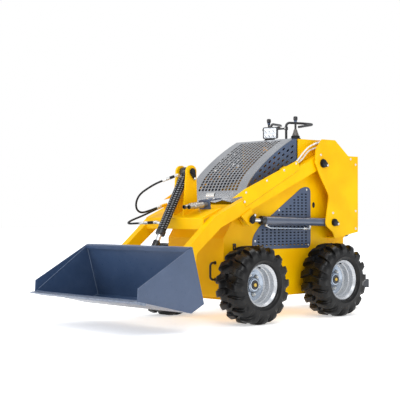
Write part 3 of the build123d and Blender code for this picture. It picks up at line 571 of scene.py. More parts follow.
# Raised marks of the cylinder's guard in pale grey: painted highlights on its ridges
GUARD_HIGHLIGHT = Rubber("guard_wear", "#8E9197", "#6B6A68", roughness=0.38, dust_share=0.3)


# ------------------------------------------------------------------ pieces
def piece(name: str, surface: Surface, finish: Finish, body: str,
          smooth: Optional[float] = 35.0) -> bpy.types.Object:
    """Put a surface into a Blender object.

    Args:
        name: the piece's name.
        surface: its shape, in millimetres.
        finish: what it is finished with.
        body: the moving body that carries it.
        smooth: edges sharper than this many degrees stay sharp; None keeps every face flat.

    Returns:
        The object, at the origin, with its place in its mesh.
    """
    mesh = bpy.data.meshes.new(name)
    rows = [row for block in surface.faces for row in block.tolist()]
    mesh.from_pydata(metres(surface.points).tolist(), [], rows)
    mesh.update()
    made = bpy.data.objects.new(name, mesh)
    bpy.context.collection.objects.link(made)
    made.data.materials.append(finish.material())
    if smooth is not None:
        mesh.polygons.foreach_set("use_smooth", np.ones(len(mesh.polygons), bool))
        mesh.set_sharp_from_angle(angle=np.radians(smooth))
    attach(made, body)
    LOG.info("%s: %d faces, on %s", name, len(mesh.polygons), body)
    return made


def dress(finish: Finish, *nodes: str) -> None:
    """Give carried-over CAD nodes a finish.

    Args:
        finish: what they are finished with.
        nodes: their names.
    """
    for node in nodes:
        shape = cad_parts[node].data
        shape.materials.clear()
        shape.materials.append(finish.material())
        LOG.info("%s: %s", node, finish.name)


# ------------------------------------------------------------------ studio
@dataclass
class Studio:
    """Camera, floor, surroundings and lamps, in metres; the camera's three angles are in radians."""

    eye: tuple[float, float, float] = (5.080, 4.963, 0.715)
    heading: float = 3.9739
    rise: float = 0.00217
    roll: float = -0.00193
    lens: float = 89.613
    shift: tuple[float, float] = (0.02075, 0.03175)
    background: str = "#FFFFFF"
    ambient: float = 0.7
    near_glow: float = 0.5
    lit_share: float = 0.8
    glow_range: tuple[float, float] = (1.5, 3.2)

    # name, place, target, width in metres and watts of each lamp
    LAMPS = (("key_lamp", (3.5, 4.5, 5.5), (0, 0, 0.5), 3.0, 150),
             ("fill_lamp", (5.5, -3.0, 3.0), (0, 0, 0.6), 3.5, 110),
             ("low_lamp", (6.5, 1.5, 0.6), (0.4, 0, 0.4), 2.5, 80),
             ("top_lamp", (-1.5, 0.5, 6.0), (-0.2, 0, 0.5), 4.0, 140))

    def camera(self) -> None:
        """Place the camera: forward from heading and rise, its right and its up turned by the roll."""
        h, r = self.heading, self.rise
        forward = Vector((np.cos(h) * np.cos(r), np.sin(h) * np.cos(r), np.sin(r)))
        right = forward.cross(Vector((0, 0, 1))).normalized()
        up = right.cross(forward)
        level = right * np.cos(self.roll) + up * np.sin(self.roll)
        tall = up * np.cos(self.roll) - right * np.sin(self.roll)
        lens = bpy.data.cameras.new("camera")
        lens.lens, lens.shift_x, lens.shift_y = self.lens, *self.shift
        lens.clip_end = 100
        holder = bpy.data.objects.new("camera", lens)
        bpy.context.collection.objects.link(holder)
        place = Vector(self.eye) + Vector((float(DATUM[0]), 0, 0))
        rows = [(level[i], tall[i], -forward[i], place[i]) for i in range(3)]
        holder.matrix_world = Matrix(rows + [(0, 0, 0, 1)])
        bpy.context.scene.camera = holder

    def floor(self) -> None:
        """Lay a pale floor that keeps the soft shadow.

        It glows so that the camera sees it as white: from near_glow under the machine to 1 at a distance,
        and by lit_share of that to every other ray.
        """
        flat = bpy.data.meshes.new("floor")
        flat.from_pydata([(-40, -40, 0), (40, -40, 0), (40, 40, 0), (-40, 40, 0)], [], [(0, 1, 2, 3)])
        made = bpy.data.objects.new("floor", flat)
        bpy.context.collection.objects.link(made)
        recipe = Recipe("floor_pale")
        recipe.link(recipe.ramp(recipe.noise(600, 2), ((0.0, "#F4F4F4"), (1.0, "#F8F8F8"))), "Base Color")
        away = recipe.add("VectorMath", {0: recipe.places()}, operation="LENGTH").outputs["Value"]
        glow = recipe.spread(away, self.near_glow, 1.0, *self.glow_range)
        seen = recipe.add("LightPath").outputs["Is Camera Ray"]
        share = recipe.spread(seen, self.lit_share, 1.0, 0.0, 1.0)
        shown = recipe.add("Math", {0: glow, 1: share}, operation="MULTIPLY")
        recipe.link(shown.outputs[0], "Emission Strength")
        recipe.set(Roughness=0.9, Specular_IOR_Level=0.1, Emission_Color=(1.0, 1.0, 1.0, 1.0))
        flat.materials.append(recipe.material)

    def world(self) -> None:
        """Light evenly from all round by the ambient strength, and show white to the camera."""
        made = bpy.data.worlds.new("world")
        made.use_nodes = True
        bpy.context.scene.world = made
        tree = made.node_tree
        soft, white = tree.nodes["Background"], tree.nodes.new("ShaderNodeBackground")
        for node, code, strength in ((soft, "#F4F6FA", self.ambient), (white, self.background, 1.0)):
            node.inputs["Color"].default_value = colour(code)
            node.inputs["Strength"].default_value = strength
        path = tree.nodes.new("ShaderNodeLightPath")
        mix = tree.nodes.new("ShaderNodeMixShader")
        shares = (path.outputs["Is Camera Ray"], soft.outputs[0], white.outputs[0])
        for output, socket in zip(shares, mix.inputs):
            tree.links.new(output, socket)
        tree.links.new(mix.outputs[0], tree.nodes["World Output"].inputs[0])

    def lamp(self, name: str, place: Point, target: Point, size: float, power: float) -> None:
        """Hang a soft square lamp.

        Args:
            name: the lamp's name.
            place: where it hangs, in metres.
            target: what it faces.
            size: its width in metres.
            power: its watts.
        """
        light = bpy.data.lights.new(name, "AREA")
        light.shape, light.size, light.energy = "SQUARE", size, power
        holder = bpy.data.objects.new(name, light)
        holder.location = place
        holder.rotation_euler = (Vector(target) - Vector(place)).to_track_quat("-Z", "Y").to_euler()
        bpy.context.collection.objects.link(holder)

    def build(self) -> None:
        """Set the whole studio."""
        self.camera()
        self.floor()
        self.world()
        for settings in self.LAMPS:
            self.lamp(*settings)
        bpy.context.scene.view_settings.view_transform = "Standard"


# ------------------------------------------------------------------ forms built from the basics
def eased(share: Array) -> Array:
    """Ease a share at both its ends, as 3t^2 - 2t^3, held to 0 below 0 and to 1 above 1."""
    held = np.clip(share, 0.0, 1.0)
    return held * held * (3 - 2 * held)


def along(start: Point, slope: float, distance: float, rise: float) -> tuple[float, float]:
    """Find a point of the side view by going along a slope and then square to it.

    Args:
        start: where to start, as (x, z).
        slope: the slope in degrees, up towards the front.
        distance: how far to go along it.
        rise: how far to go square to it.

    Returns:
        The point's x and z.
    """
    run = np.radians(slope)
    return (start[0] + distance * np.cos(run) - rise * np.sin(run),
            start[1] + distance * np.sin(run) + rise * np.cos(run))


def rod(start: Point, end: Point, radius: float, sides: int = 24, ease: float = 1.2) -> Surface:
    """Make a bar between two points: a rectangle with two cut corners, turned round its length.

    Args:
        start: the middle of one end.
        end: the middle of the other.
        radius: half the bar's thickness.
        sides: number of steps round; 6 makes a hexagon.
        ease: how far the end edges are cut back.

    Returns:
        The closed bar.
    """
    first, last = np.asarray(start, float), np.asarray(end, float)
    length = float(np.linalg.norm(last - first))
    profile = [(0, 0), (radius - ease, 0), (radius, ease), (radius, length - ease), (radius - ease, length),
               (0, length)]
    return turned(profile, first, last - first, sides)


def bolts(places: Profile, axis: Point, radius: float) -> Surface:
    """Make a washer and a chamfered hexagon head at each place, by turning both profiles.

    Args:
        places: where the washers' seats are.
        axis: the way the heads face.
        radius: the hexagon's radius over its corners.

    Returns:
        All the bolts.
    """
    tall = radius * 0.85
    wide, thick = radius * 1.35, tall * 0.22
    washer = turned([(0, 0), (wide, 0), (wide, thick), (0, thick)], ORIGIN, axis, 20)
    head = turned([(0, tall * 0.2), (radius, tall * 0.2), (radius, tall * 0.85), (radius * 0.82, tall),
                   (0, tall)], ORIGIN, axis, 6)
    return (washer + head).repeated(np.asarray(places, float))


def teardrop(head: tuple[float, float], tip: tuple[float, float], radii: tuple[float, float], y_low: float,
             y_high: float, steps: int = 14) -> Surface:
    """Make a keeper plate: the hull of a large and a small circle in side view.

    The tangent points lie at the angle acos((R - r) / d) to each side of the line between the centres.

    Args:
        head: the large circle's centre, as (x, z).
        tip: the small circle's centre.
        radii: the two radii.
        y_low: the plate's lower side.
        y_high: its upper side.
        steps: number of points on the small circle's arc; the large one's has twice as many.

    Returns:
        The closed plate.
    """
    (x0, z0), (x1, z1) = head, tip
    line = np.arctan2(z1 - z0, x1 - x0)
    spread = np.arccos((radii[0] - radii[1]) / np.hypot(x1 - x0, z1 - z0))
    big = np.linspace(line + spread, line + 2 * np.pi - spread, steps * 2)
    small = np.linspace(line - spread, line + spread, steps)
    outline = np.vstack([np.stack([x0 + radii[0] * np.cos(big), z0 + radii[0] * np.sin(big)], -1),
                         np.stack([x1 + radii[1] * np.cos(small), z1 + radii[1] * np.sin(small)], -1)])
    return slab(outline, y_low, y_high)


def corner_arcs(before: Array, corner: Array, after: Array, radius: float, steps: int) -> Array:
    """Round corners by the curve (1-t)^2 * start + 2t(1-t) * corner + t^2 * end.

    Start and end lie a radius before and after the corner, or at 0.48 of the shorter side.

    Args:
        before: for each corner, the point before it.
        corner: the corners.
        after: for each corner, the point after it.
        radius: how far from the corner the curve starts.
        steps: points on each curve.

    Returns:
        The curves' points in one list.
    """
    short = np.minimum(np.linalg.norm(before - corner, axis=1), np.linalg.norm(after - corner, axis=1))
    reach = np.minimum(radius, short * 0.48)[:, None]
    start, end = corner + unit(before - corner) * reach, corner + unit(after - corner) * reach
    t = np.linspace(0, 1, steps)[None, :, None]
    curve = (1 - t) ** 2 * start[:, None] + 2 * t * (1 - t) * corner[:, None] + t ** 2 * end[:, None]
    return curve.reshape(-1, corner.shape[1])


def rounded(outline: Profile, radius: float, steps: int = 5) -> Array:
    """Round every corner of a closed outline."""
    shape = np.asarray(outline, float)
    return corner_arcs(np.roll(shape, 1, 0), shape, np.roll(shape, -1, 0), radius, steps)


def bent(points: Profile, bend: float, steps: int = 7) -> Array:
    """Round the inner corners of an open path."""
    path = np.asarray(points, float)
    return np.vstack([path[:1], corner_arcs(path[:-2], path[1:-1], path[2:], bend, steps), path[-1:]])


def evenly(line: Array, step: float, fewest: int = 2) -> tuple[float, Array]:
    """Set points along a line of points, evenly by the distance along it.

    Args:
        line: rows of points.
        step: about how far apart the new ones lie.
        fewest: the least number of them.

    Returns:
        The line's length, and the new points.
    """
    run = np.concatenate([[0.0], np.cumsum(np.linalg.norm(np.diff(line, axis=0), axis=1))])
    even = np.linspace(0, run[-1], max(int(run[-1] / step), fewest))
    return float(run[-1]), np.stack([np.interp(even, run, line[:, k]) for k in range(3)], -1)


def pipe(points: Profile, radius: float, bend: float, up: Point = LEFTWARD) -> Surface:
    """Make a rigid tube, bent at the points between its ends."""
    return carried(bent(points, bend), circle(radius, 14), up)


def mesh_points(mesh: bpy.types.Mesh) -> Array:
    """Read a mesh's points.

    Args:
        mesh: the mesh.

    Returns:
        Its points, a row for each.
    """
    flat = np.empty(len(mesh.vertices) * 3, np.float32)
    mesh.vertices.foreach_get("co", flat)
    return flat.reshape(-1, 3).astype(float)


def punched(outline: Array, holes: Sequence[Array], y_low: float, thickness: float,
            edge: float = 0.5) -> Surface:
    """Make a flat plate with holes, by filling flat curves and easing their edges.

    Args:
        outline: rows of (x, z) round the plate.
        holes: one such array for each hole.
        y_low: the plate's lower side.
        thickness: its thickness along Y.
        edge: how far its edges are eased.

    Returns:
        The plate.
    """
    flat = bpy.data.curves.new("plate", "CURVE")
    flat.dimensions, flat.fill_mode = "2D", "BOTH"
    flat.extrude, flat.bevel_depth, flat.offset = thickness / 2 - edge, edge, -edge
    for loop in (outline, *holes):
        spline = flat.splines.new("POLY")
        spline.points.add(len(loop) - 1)
        rows = np.hstack([loop, np.zeros((len(loop), 1)), np.ones((len(loop), 1))])
        spline.points.foreach_set("co", rows.astype(np.float32).ravel())
        spline.use_cyclic_u = True
    mesh = bpy.data.meshes.new_from_object(bpy.data.objects.new("plate", flat))
    a, b, c = mesh_points(mesh).T
    mesh.calc_loop_triangles()
    corners = np.empty(len(mesh.loop_triangles) * 3, np.int32)
    mesh.loop_triangles.foreach_get("vertices", corners)
    return Surface(np.stack([a, y_low + thickness / 2 - c, b], -1), [corners.reshape(-1, 3)])


def latticed(us: Array, vs: Array, shut: Array, place: Callable[[Array, Array, float], Array],
             thickness: float) -> Surface:
    """Make a bent sheet on a lattice of lines, with some of its cells left open.

    Both skins use the shut cells, and each cell side next to an open cell, or to nothing, gets a wall.

    Args:
        us: the lattice lines one way.
        vs: the lattice lines the other way.
        shut: for each cell, whether it is metal.
        place: gives points from u, v and the depth below the outer skin.
        thickness: the sheet's thickness.

    Returns:
        The closed sheet.
    """
    u, v = np.meshgrid(us, vs, indexing="ij")
    points = np.vstack([place(u, v, 0.0).reshape(-1, 3), place(u, v, thickness).reshape(-1, 3)])
    index = np.arange(u.size).reshape(u.shape)
    i, j = np.nonzero(shut)
    ring = np.stack([index[i, j], index[i + 1, j], index[i + 1, j + 1], index[i, j + 1]], -1)
    faces = [ring, (ring + u.size)[:, ::-1]]
    beyond = np.pad(shut, 1)
    for side, (ahead, beside) in enumerate(((0, -1), (1, 0), (0, 1), (-1, 0))):
        bare = ~beyond[i + 1 + ahead, j + 1 + beside]
        first, second = ring[bare, side], ring[bare, (side + 1) % 4]
        faces.append(np.stack([second, first, first + u.size, second + u.size], -1))
    return Surface(points, faces)


# ------------------------------------------------------------------ hoses
@dataclass(frozen=True)
class Hose:
    """One hydraulic hose between two fittings.

    Its middle line is a NURBS spline with the route's points, and its wall can have fine ridges round it,
    like an abrasion sleeve: the radius is R * (1 + depth * cos(2 pi s / pitch)) at a distance s along it.
    """

    name: str
    route: tuple[tuple[float, float, float], ...]
    diameter: float
    finish: Finish
    body: str
    up: tuple[float, float, float] = LEFTWARD
    ridge_pitch: float = 0.0
    ridge_depth: float = 0.05
    crimp: float = 30.0

    STEP = 5.0  # distance between the rings of a smooth hose

    def line(self) -> Array:
        """Read the smooth middle line from a NURBS curve with no bevel.

        Returns:
            The line's points, in metres.
        """
        curve = bpy.data.curves.new(self.name + "_line", "CURVE")
        curve.dimensions = "3D"
        spline = curve.splines.new("NURBS")
        spline.points.add(len(self.route) - 1)
        rows = np.hstack([metres(self.route), np.ones((len(self.route), 1))])
        spline.points.foreach_set("co", rows.astype(np.float32).ravel())
        spline.order_u = 3
        spline.use_endpoint_u = True
        spline.resolution_u = 20
        return mesh_points(bpy.data.meshes.new_from_object(bpy.data.objects.new(self.name + "_line", curve)))

    def build(self) -> None:
        """Make the hose and its two crimped ferrules."""
        line = self.line()
        length, path = evenly(line, self.ridge_pitch / 5 / MM if self.ridge_pitch else self.STEP / MM, 12)
        local = (path - DATUM) * MM
        swell = np.ones(len(path))
        if self.ridge_pitch:
            even = np.linspace(0, length, len(path))
            swell += self.ridge_depth * np.cos(2 * np.pi * even * MM / self.ridge_pitch)
        tube = carried(local, circle(self.diameter / 2, 14), self.up, swell, capped=False)
        made = piece(self.name + "_sleeve", tube, self.finish, self.body, smooth=60)
        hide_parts(self.name)
        ends = self.ferrule(local) + self.ferrule(local[::-1])
        piece(self.name + "_ferrules", ends, ZINC, self.body)
        LOG.info("%s: %.0f mm of %.0f mm hose", self.name, length * MM, self.diameter)

    def ferrule(self, local: Array) -> Surface:
        """Turn the crimped sleeve over an end, with its five pressed rings.

        Args:
            local: the middle line from that end on.

        Returns:
            The open sleeve.
        """
        r, c, wall = self.diameter / 2, self.crimp, 2.6
        rings = [(r + 0.3, 0), (r + wall, 0.6)]
        for mark in np.linspace(0.12, 0.82, 5):
            rings += [(r + wall, c * mark), (r + 1.5, c * (mark + 0.04)), (r + wall, c * (mark + 0.08))]
        rings += [(r + 2.2, c - 1), (r + 0.3, c)]
        return turned(rings, local[0], local[len(local) // 12] - local[0], 20)


# The tilt hoses run from the cylinder's ports to the cross beam, with the fine ridges of a spiral cover;
# the arm hoses run in white sleeves from the left tower's elbows to the arm's guard
HOSES = (
    Hose("tilt_hose_upper",
         ((781, -12, 949), (839, -27, 928), (896, -47, 895), (952, -75, 852), (960, -106, 800),
          (936, -131, 751), (880, -149, 727), (792, -165, 744), (700, -170, 771)),
         13.0, HOSE, "boom", ridge_pitch=4.0),
    Hose("tilt_hose_lower",
         ((886, -118, 662), (928, -160, 659), (934, -212, 657), (906, -257, 664), (855, -273, 682),
          (775, -250, 712), (661, -204, 769)),
         13.0, HOSE, "tilt_barrel", up=UPWARD, ridge_pitch=4.0),
    Hose("arm_hose_upper",
         ((-352, 316, 1221), (-285, 316, 1204), (-222, 316, 1160), (-170, 316, 1110), (-110, 316, 1062),
          (-50, 316, 1036.3)),
         12.0, WHITE_HOSE, "boom"),
    Hose("arm_hose_lower",
         ((-360, 296, 1188), (-310, 296, 1178), (-264, 296, 1147), (-222, 296, 1104), (-175, 296, 1077),
          (-120, 296, 1052), (-55.2, 296, 1024.2)),
         12.0, WHITE_HOSE, "boom"),
)


# ------------------------------------------------------------------ wheels
@dataclass
class Wheels:
    """Four tyres with staggered bar lugs on deep-dished rims."""

    wheelbase: float = 820.0
    track: float = 846.0
    axle_z: float = 257.095
    lugs: int = 16
    lug_half: float = 19.0
    lug_flare: float = 5.0
    lug_sweep: float = 34.0
    sweep_power: float = 1.4
    lug_root: float = 7.0
    lug_run: float = 105.0
    shoulder_row: int = 15
    ledge: float = 10.0
    ledge_height: float = 0.5
    tread_radius: float = 256.0
    wheel_nuts: int = 6
    nut_circle: float = 66.0
    nut_phase: float = 0.3
    disc_face: float = -14.8

    # (y, radius) of the bare carcass, then of the lug's top, from the middle of the tread to the bead
    SECTION = ((0, 235.5, 0, 235.5), (5, 235.5, 5, 235.5), (7, 235.5, 7, 249), (9, 235.5, 9.5, 255.6),
               (14, 235.4, 14, 256.6), (30, 235, 30, 256.8), (46, 234.4, 46, 256.8), (60, 233.2, 60, 256.4),
               (72, 231, 73, 255.2), (82, 227.6, 84, 252.4), (90, 222.6, 94, 247), (96.6, 215.8, 102, 239),
               (101.4, 207.6, 107.4, 229), (104.4, 201.5, 109.8, 217.5), (106.4, 195, 108.6, 206),
               (107.7, 188, 108.2, 194), (108.5, 181, 108.5, 181), (109, 174, 109, 174), (109, 168, 109, 168),
               (110, 165, 110, 165), (109.8, 161, 109.8, 161), (107.8, 158, 107.8, 158),
               (104.8, 152.5, 104.8, 152.5), (100.2, 147, 100.2, 147), (94.5, 143, 94.5, 143),
               (88.5, 140.5, 88.5, 140.5), (84, 139.6, 84, 139.6), (80, 134, 80, 134), (79, 128.2, 79, 128.2))

    # (radius, y) of the rim: seat, lips, stepped well and dish
    RIM_SECTION = ((134, -90), (139, -90), (139, -86), (128, -79), (127, -60), (127, 60), (128, 78),
                   (137, 83), (139, 86), (138.6, 89), (136.6, 90), (134.2, 88.6), (131, 83.5), (126, 79),
                   (122.4, 74.5), (121.8, 68), (121.8, 46), (120, 41.5), (115.6, 38.5), (114.8, 34),
                   (114.8, 6), (112, 0.5), (106, -3), (104, -10), (113, -16), (119, -24), (121, -40),
                   (122, -74), (128, -84), (134, -90))

    # (radius, y) of the pressed disc between the well and the hub
    DISC_SECTION = ((40, -24), (88, -23), (106, -12), (107, -4), (100, -5.5), (92, -9), (86, -13.5),
                    (78, -14.8), (58, -14.8), (52, -12.5), (44, -12.5), (40.2, -14), (40, -24))

    # (radius, y) of the bright flange over the drive's drum, the dark cap on it and the nut in the cap
    FLANGE = ((51.5, -12), (51.5, 4), (49, 9), (43, 11), (41.5, 12.5), (41.5, 18), (39, 20), (30, 20.4),
              (28, 18.4), (0, 18.4))
    HUB_CAP = ((31, 18.2), (31, 23), (29, 25.4), (19, 25.6), (17, 22), (0, 22))
    SHAFT_NUT = ((0, 21), (13.5, 21), (13.5, 26), (11.5, 27.5), (0, 27.5))

    # (radius, height over the disc) of a wheel nut's cone, hexagon and stud end, and of the black disc under
    # it, a painted shadow round the nut
    NUT_CONE = ((0, 0), (13.5, 0), (12.5, 3), (9.5, 3.5))
    NUT_HEAD = ((10.4, 3), (10.4, 13), (8.8, 15), (0, 15))
    NUT_STUD = ((5.2, 14), (5.2, 20), (4.2, 21), (0, 21))
    NUT_SHADOW_DISC = ((0, -0.4), (16.5, -0.4), (16.5, 0.9), (15.5, 1.3), (0, 1.3))

    def half(self, roll: int) -> Array:
        """Make one half of the tread.

        Stations lie on the lug's own edges, so its walls are clean: each lug has a foot, a lower ledge, a
        wall and a crown, and its middle line leaves the tread's middle squarely and sweeps to the shoulder.

        Args:
            roll: by how many stations its lugs are shifted round.

        Returns:
            Stations x rows x 3 points, round the axle at the origin.
        """
        section = np.asarray(self.SECTION, float)
        y_base, r_base, y_top, r_top = section.T
        row = np.arange(len(section))
        reach = np.where(row > self.shoulder_row, 1.0, np.clip((y_base - self.lug_root) / self.lug_run, 0, 1))
        centre = -self.lug_sweep / 2 + self.lug_sweep * reach ** self.sweep_power
        half = self.lug_half + self.lug_flare * reach
        ledge = self.ledge * eased((reach - 0.25) / 0.3)
        pitch = 2 * np.pi * self.tread_radius / self.lugs
        zero = np.zeros_like(half)
        offsets = np.stack([-half - ledge - 5, -half - ledge - 1.2, -half - ledge + 1, -half - 1.8,
                            -half + 0.2, -half + 2.4, -half / 3, half / 3, half - 2.4, half - 0.2, half + 2,
                            half + 5.5])
        q = self.ledge_height
        heights = np.array([0, 0.85 * q, q, q, 0.9, 1, 1, 1, 1, 0.92, 0.25, 0, 0, 0, 0, 0])
        gap = np.linspace(0, 1, 6)[1:-1, None] * (pitch - offsets[-1] + offsets[0]) + offsets[-1]
        offsets = np.vstack([offsets, gap]) + centre
        count = len(heights)
        uniform = (np.arange(count) / count * pitch - self.lug_half - 5 - self.lug_sweep / 2)[:, None] + zero
        bend = np.where(row > 2, 1.0, eased(y_base / 6.0))
        offsets = uniform * (1 - bend) + offsets * bend
        share = heights[:, None] * np.where(r_top > r_base, 1.0, 0.0)
        y = y_base + (y_top - y_base) * share
        r = r_base + (r_top - r_base) * share
        turn = (np.arange(self.lugs) * pitch)[:, None, None] + offsets[None]
        angle = (turn.reshape(-1, len(section)) + roll * pitch / count) / self.tread_radius
        y, r = np.tile(y, (self.lugs, 1)), np.tile(r, (self.lugs, 1))
        points = np.stack([r * np.sin(angle), y, r * np.cos(angle)], -1)
        return np.roll(points, roll, axis=0) if roll else points

    def tyre(self) -> Surface:
        """Join the two halves at the middle of the tread, the far one eight stations, half a pitch, round."""
        near, far = self.half(0), self.half(8) * np.array([1.0, -1.0, 1.0])
        return grid(np.concatenate([far[:, :0:-1], near], axis=1), wrap_rows=True, wrap_columns=True)

    def at_nuts(self, shape: Surface) -> Surface:
        """Repeat a shape at every wheel nut's place on the disc.

        Args:
            shape: the shape, standing on the origin.

        Returns:
            All its copies.
        """
        angle = self.nut_phase + np.arange(self.wheel_nuts) * 2 * np.pi / self.wheel_nuts
        return shape.repeated(np.stack([self.nut_circle * np.sin(angle), np.full(len(angle), self.disc_face),
                                        self.nut_circle * np.cos(angle)], -1))

    def build(self) -> None:
        """Place the pieces of all four wheels; the right ones are the left ones mirrored."""
        nut = (turned(self.NUT_CONE, sides=20) + turned(self.NUT_HEAD, sides=6)
               + turned(self.NUT_STUD, sides=14))
        valve = rod((0, 44, 119.5), (0, 66, 113), 4.2, 12) + rod((0, 64, 113.6), (0, 70, 111.8), 5.2, 12)
        parts = (("tyre", self.tyre(), TYRE, 38),
                 ("rim", turned(self.RIM_SECTION, sides=96), RIM, 30),
                 ("disc", turned(self.DISC_SECTION, sides=72), DISC, 30),
                 ("nuts", self.at_nuts(nut), ZINC, 30),
                 # black discs under the nuts: painted shadow round each nut
                 ("nut_shadow_discs", self.at_nuts(turned(self.NUT_SHADOW_DISC, sides=24)), BLACK, 30),
                 ("flange", turned(self.FLANGE, sides=48), DISC, 30),
                 ("hub_cap", turned(self.HUB_CAP, sides=40), BLACK, 30),
                 ("shaft_nut", turned(self.SHAFT_NUT, sides=6), BRASS, 30),
                 ("valve", valve, BLACK, 30))
        for corner_of in Corner:
            corner, (ahead, side) = corner_of.name.lower(), corner_of.value
            for part, surface, finish, smooth in parts:
                shape = surface if side > 0 else surface.mirrored()
                shape = shape.moved(ahead * self.wheelbase / 2, side * self.track / 2, self.axle_z)
                made = piece(f"{part}_{corner}_form", shape, finish, "wheel_" + corner, smooth=smooth)
                if part in ("tyre", "rim"):
                    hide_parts(f"{part}_{corner}")


# ------------------------------------------------------------------ hood
@dataclass
class Hood:
    """The curved perforated lid, its folded sides, its grip and its hinge."""

    top: tuple[float, float] = (-140.0, 1250.0)
    slope: float = -26.0
    arcs: tuple[tuple[float, float], ...] = ((1750.0, 14.0), (405.0, 37.0))  # (radius, degrees)
    half: float = 274.0
    sheet: float = 3.0
    rows: int = 25
    columns: int = 12
    hole: tuple[float, float] = (17.5, 20.5)
    margins: tuple[float, float, float] = (40.0, 92.0, 96.0)  # of the holes, at the top, sides and bottom
    hinge: tuple[float, float] = (-138.0, 1241.0)
    hinge_half: float = 234.0

    # how far the wavy lower edge rises at each Y
    WAVE = ((0, 0), (38, 8), (75, 18), (125, 8), (175, 0), (225, 10), (265, 22), (274, 22))

    @property
    def length(self) -> float:
        """Return the length of the skin from top to bottom."""
        return sum(radius * np.radians(turn) for radius, turn in self.arcs)

    def outer(self, distance: Array, depth: Array) -> tuple[Array, Array]:
        """Find places on the side view of the skin: two arcs, the second tangent to the first.

        Each arc's point is its start plus the chord 2r*sin(a/2), which runs at the start's slope less a/2.

        Args:
            distance: how far down the skin.
            depth: how far below it, square to it.

        Returns:
            The places' x and z.
        """
        (r1, t1), (r2, t2) = self.arcs
        first = r1 * np.radians(t1)
        share1 = np.radians(t1) * np.clip(distance / first, 0, 1)
        share2 = np.maximum(distance - first, 0) / r2
        angle1 = np.radians(self.slope) - share1 / 2
        chord1 = 2 * r1 * np.sin(share1 / 2)
        angle2 = np.radians(self.slope - t1) - share2 / 2
        chord2 = 2 * r2 * np.sin(share2 / 2)
        tangent = np.radians(self.slope) - share1 - share2
        x = self.top[0] + chord1 * np.cos(angle1) + chord2 * np.cos(angle2) + depth * np.sin(tangent)
        z = self.top[1] + chord1 * np.sin(angle1) + chord2 * np.sin(angle2) - depth * np.cos(tangent)
        return x, z

    def build(self) -> None:
        """Make the lid, its folded sides, its hinge and its grip."""
        self.lid()
        self.folds()
        (x, z), half = self.hinge, self.hinge_half
        hinge = rod((x, -half, z), (x, half, z), 6.8, 20)
        for low in (-220, -60, 100):
            hinge = hinge + rod((x, low, z), (x, low + 60, z), 7.0, 20)
        piece("hood_hinge_barrels", hinge, HOOD, "hood")
        self.grip()

    def lid(self) -> None:
        """Make the sheet: a lattice whose lines are the holes' edges, laid on the two arcs."""
        length, half = self.length, self.half
        top, side, bottom = self.margins
        us = np.linspace(top, length - bottom, self.rows)
        vs = np.linspace(-half + side, half - side, self.columns)
        cuts_u = np.sort(np.concatenate([us - self.hole[0] / 2, us + self.hole[0] / 2]))
        cuts_v = np.sort(np.concatenate([vs - self.hole[1] / 2, vs + self.hole[1] / 2]))
        lines_u = np.concatenate([np.linspace(0, cuts_u[0], 4)[:-1], cuts_u,
                                  np.linspace(cuts_u[-1], length, 7)[1:]])
        lines_v = np.concatenate([np.linspace(-half, cuts_v[0], 8)[:-1], cuts_v,
                                  np.linspace(cuts_v[-1], half, 8)[1:]])
        inside_u = np.isin(lines_u[:-1], cuts_u[::2])
        inside_v = np.isin(lines_v[:-1], cuts_v[::2])
        shut = ~(inside_u[:, None] & inside_v[None])
        wave_y, wave_z = np.asarray(self.WAVE, float).T
        foot = np.sin(np.radians(sum(turn for _, turn in self.arcs) - self.slope))
        last = cuts_u[-1]

        def place(u: Array, v: Array, depth: float) -> Array:
            """Lay the lattice on the skin, its lowest stretch drawn up to the wavy lower edge.

            Args:
                u: distance down the skin.
                v: distance from the middle.
                depth: how far below the skin.

            Returns:
                The points.
            """
            lift = np.interp(np.abs(v), wave_y, wave_z) / foot
            drawn = np.where(u > last, last + (u - last) * (length - lift - last) / (length - last), u)
            x, z = self.outer(drawn, depth)
            return np.stack([x, v, z], -1)

        shell = latticed(lines_u, lines_v, shut, place, self.sheet)
        lid = piece("hood_shell", shell, HOOD, "hood", smooth=40)
        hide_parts("hood_lid")

    def folds(self) -> None:
        """Turn the sheet's sides in: a thin strip that follows the skin."""
        u = np.linspace(6, self.length - 26, 40)
        fold = np.stack([np.stack(self.outer(u, d), -1) for d in (self.sheet - 0.4, 9.0)], 1)
        y = np.array([self.half - 1.6] * 2)
        rail = np.stack([fold[..., 0], np.broadcast_to(y, fold.shape[:2]), fold[..., 1]], -1)
        inner = rail - np.array([0.0, 1.4, 0.0])
        lips = grid(np.concatenate([rail, inner[:, ::-1]], 1), wrap_columns=True)
        piece("hood_folds", lips.both_sides(), HOOD, "hood", smooth=50)

    def grip(self) -> None:
        """Swell a small plate near the lower edge: its lift is the root of a sine from edge to edge."""
        rows = np.linspace(self.length - 74, self.length - 44, 7)
        across = np.linspace(-96, -14, 9)
        u, v = np.meshgrid(rows, across, indexing="ij")
        lift = 5.0 * np.sin(np.pi * (u - rows[0]) / (rows[-1] - rows[0])) ** 0.5
        x, z = self.outer(u, -np.maximum(lift, 0.3))
        plate = grid(np.stack([x, v, z], -1))
        piece("hood_grip", plate, ZINC, "hood", smooth=60)


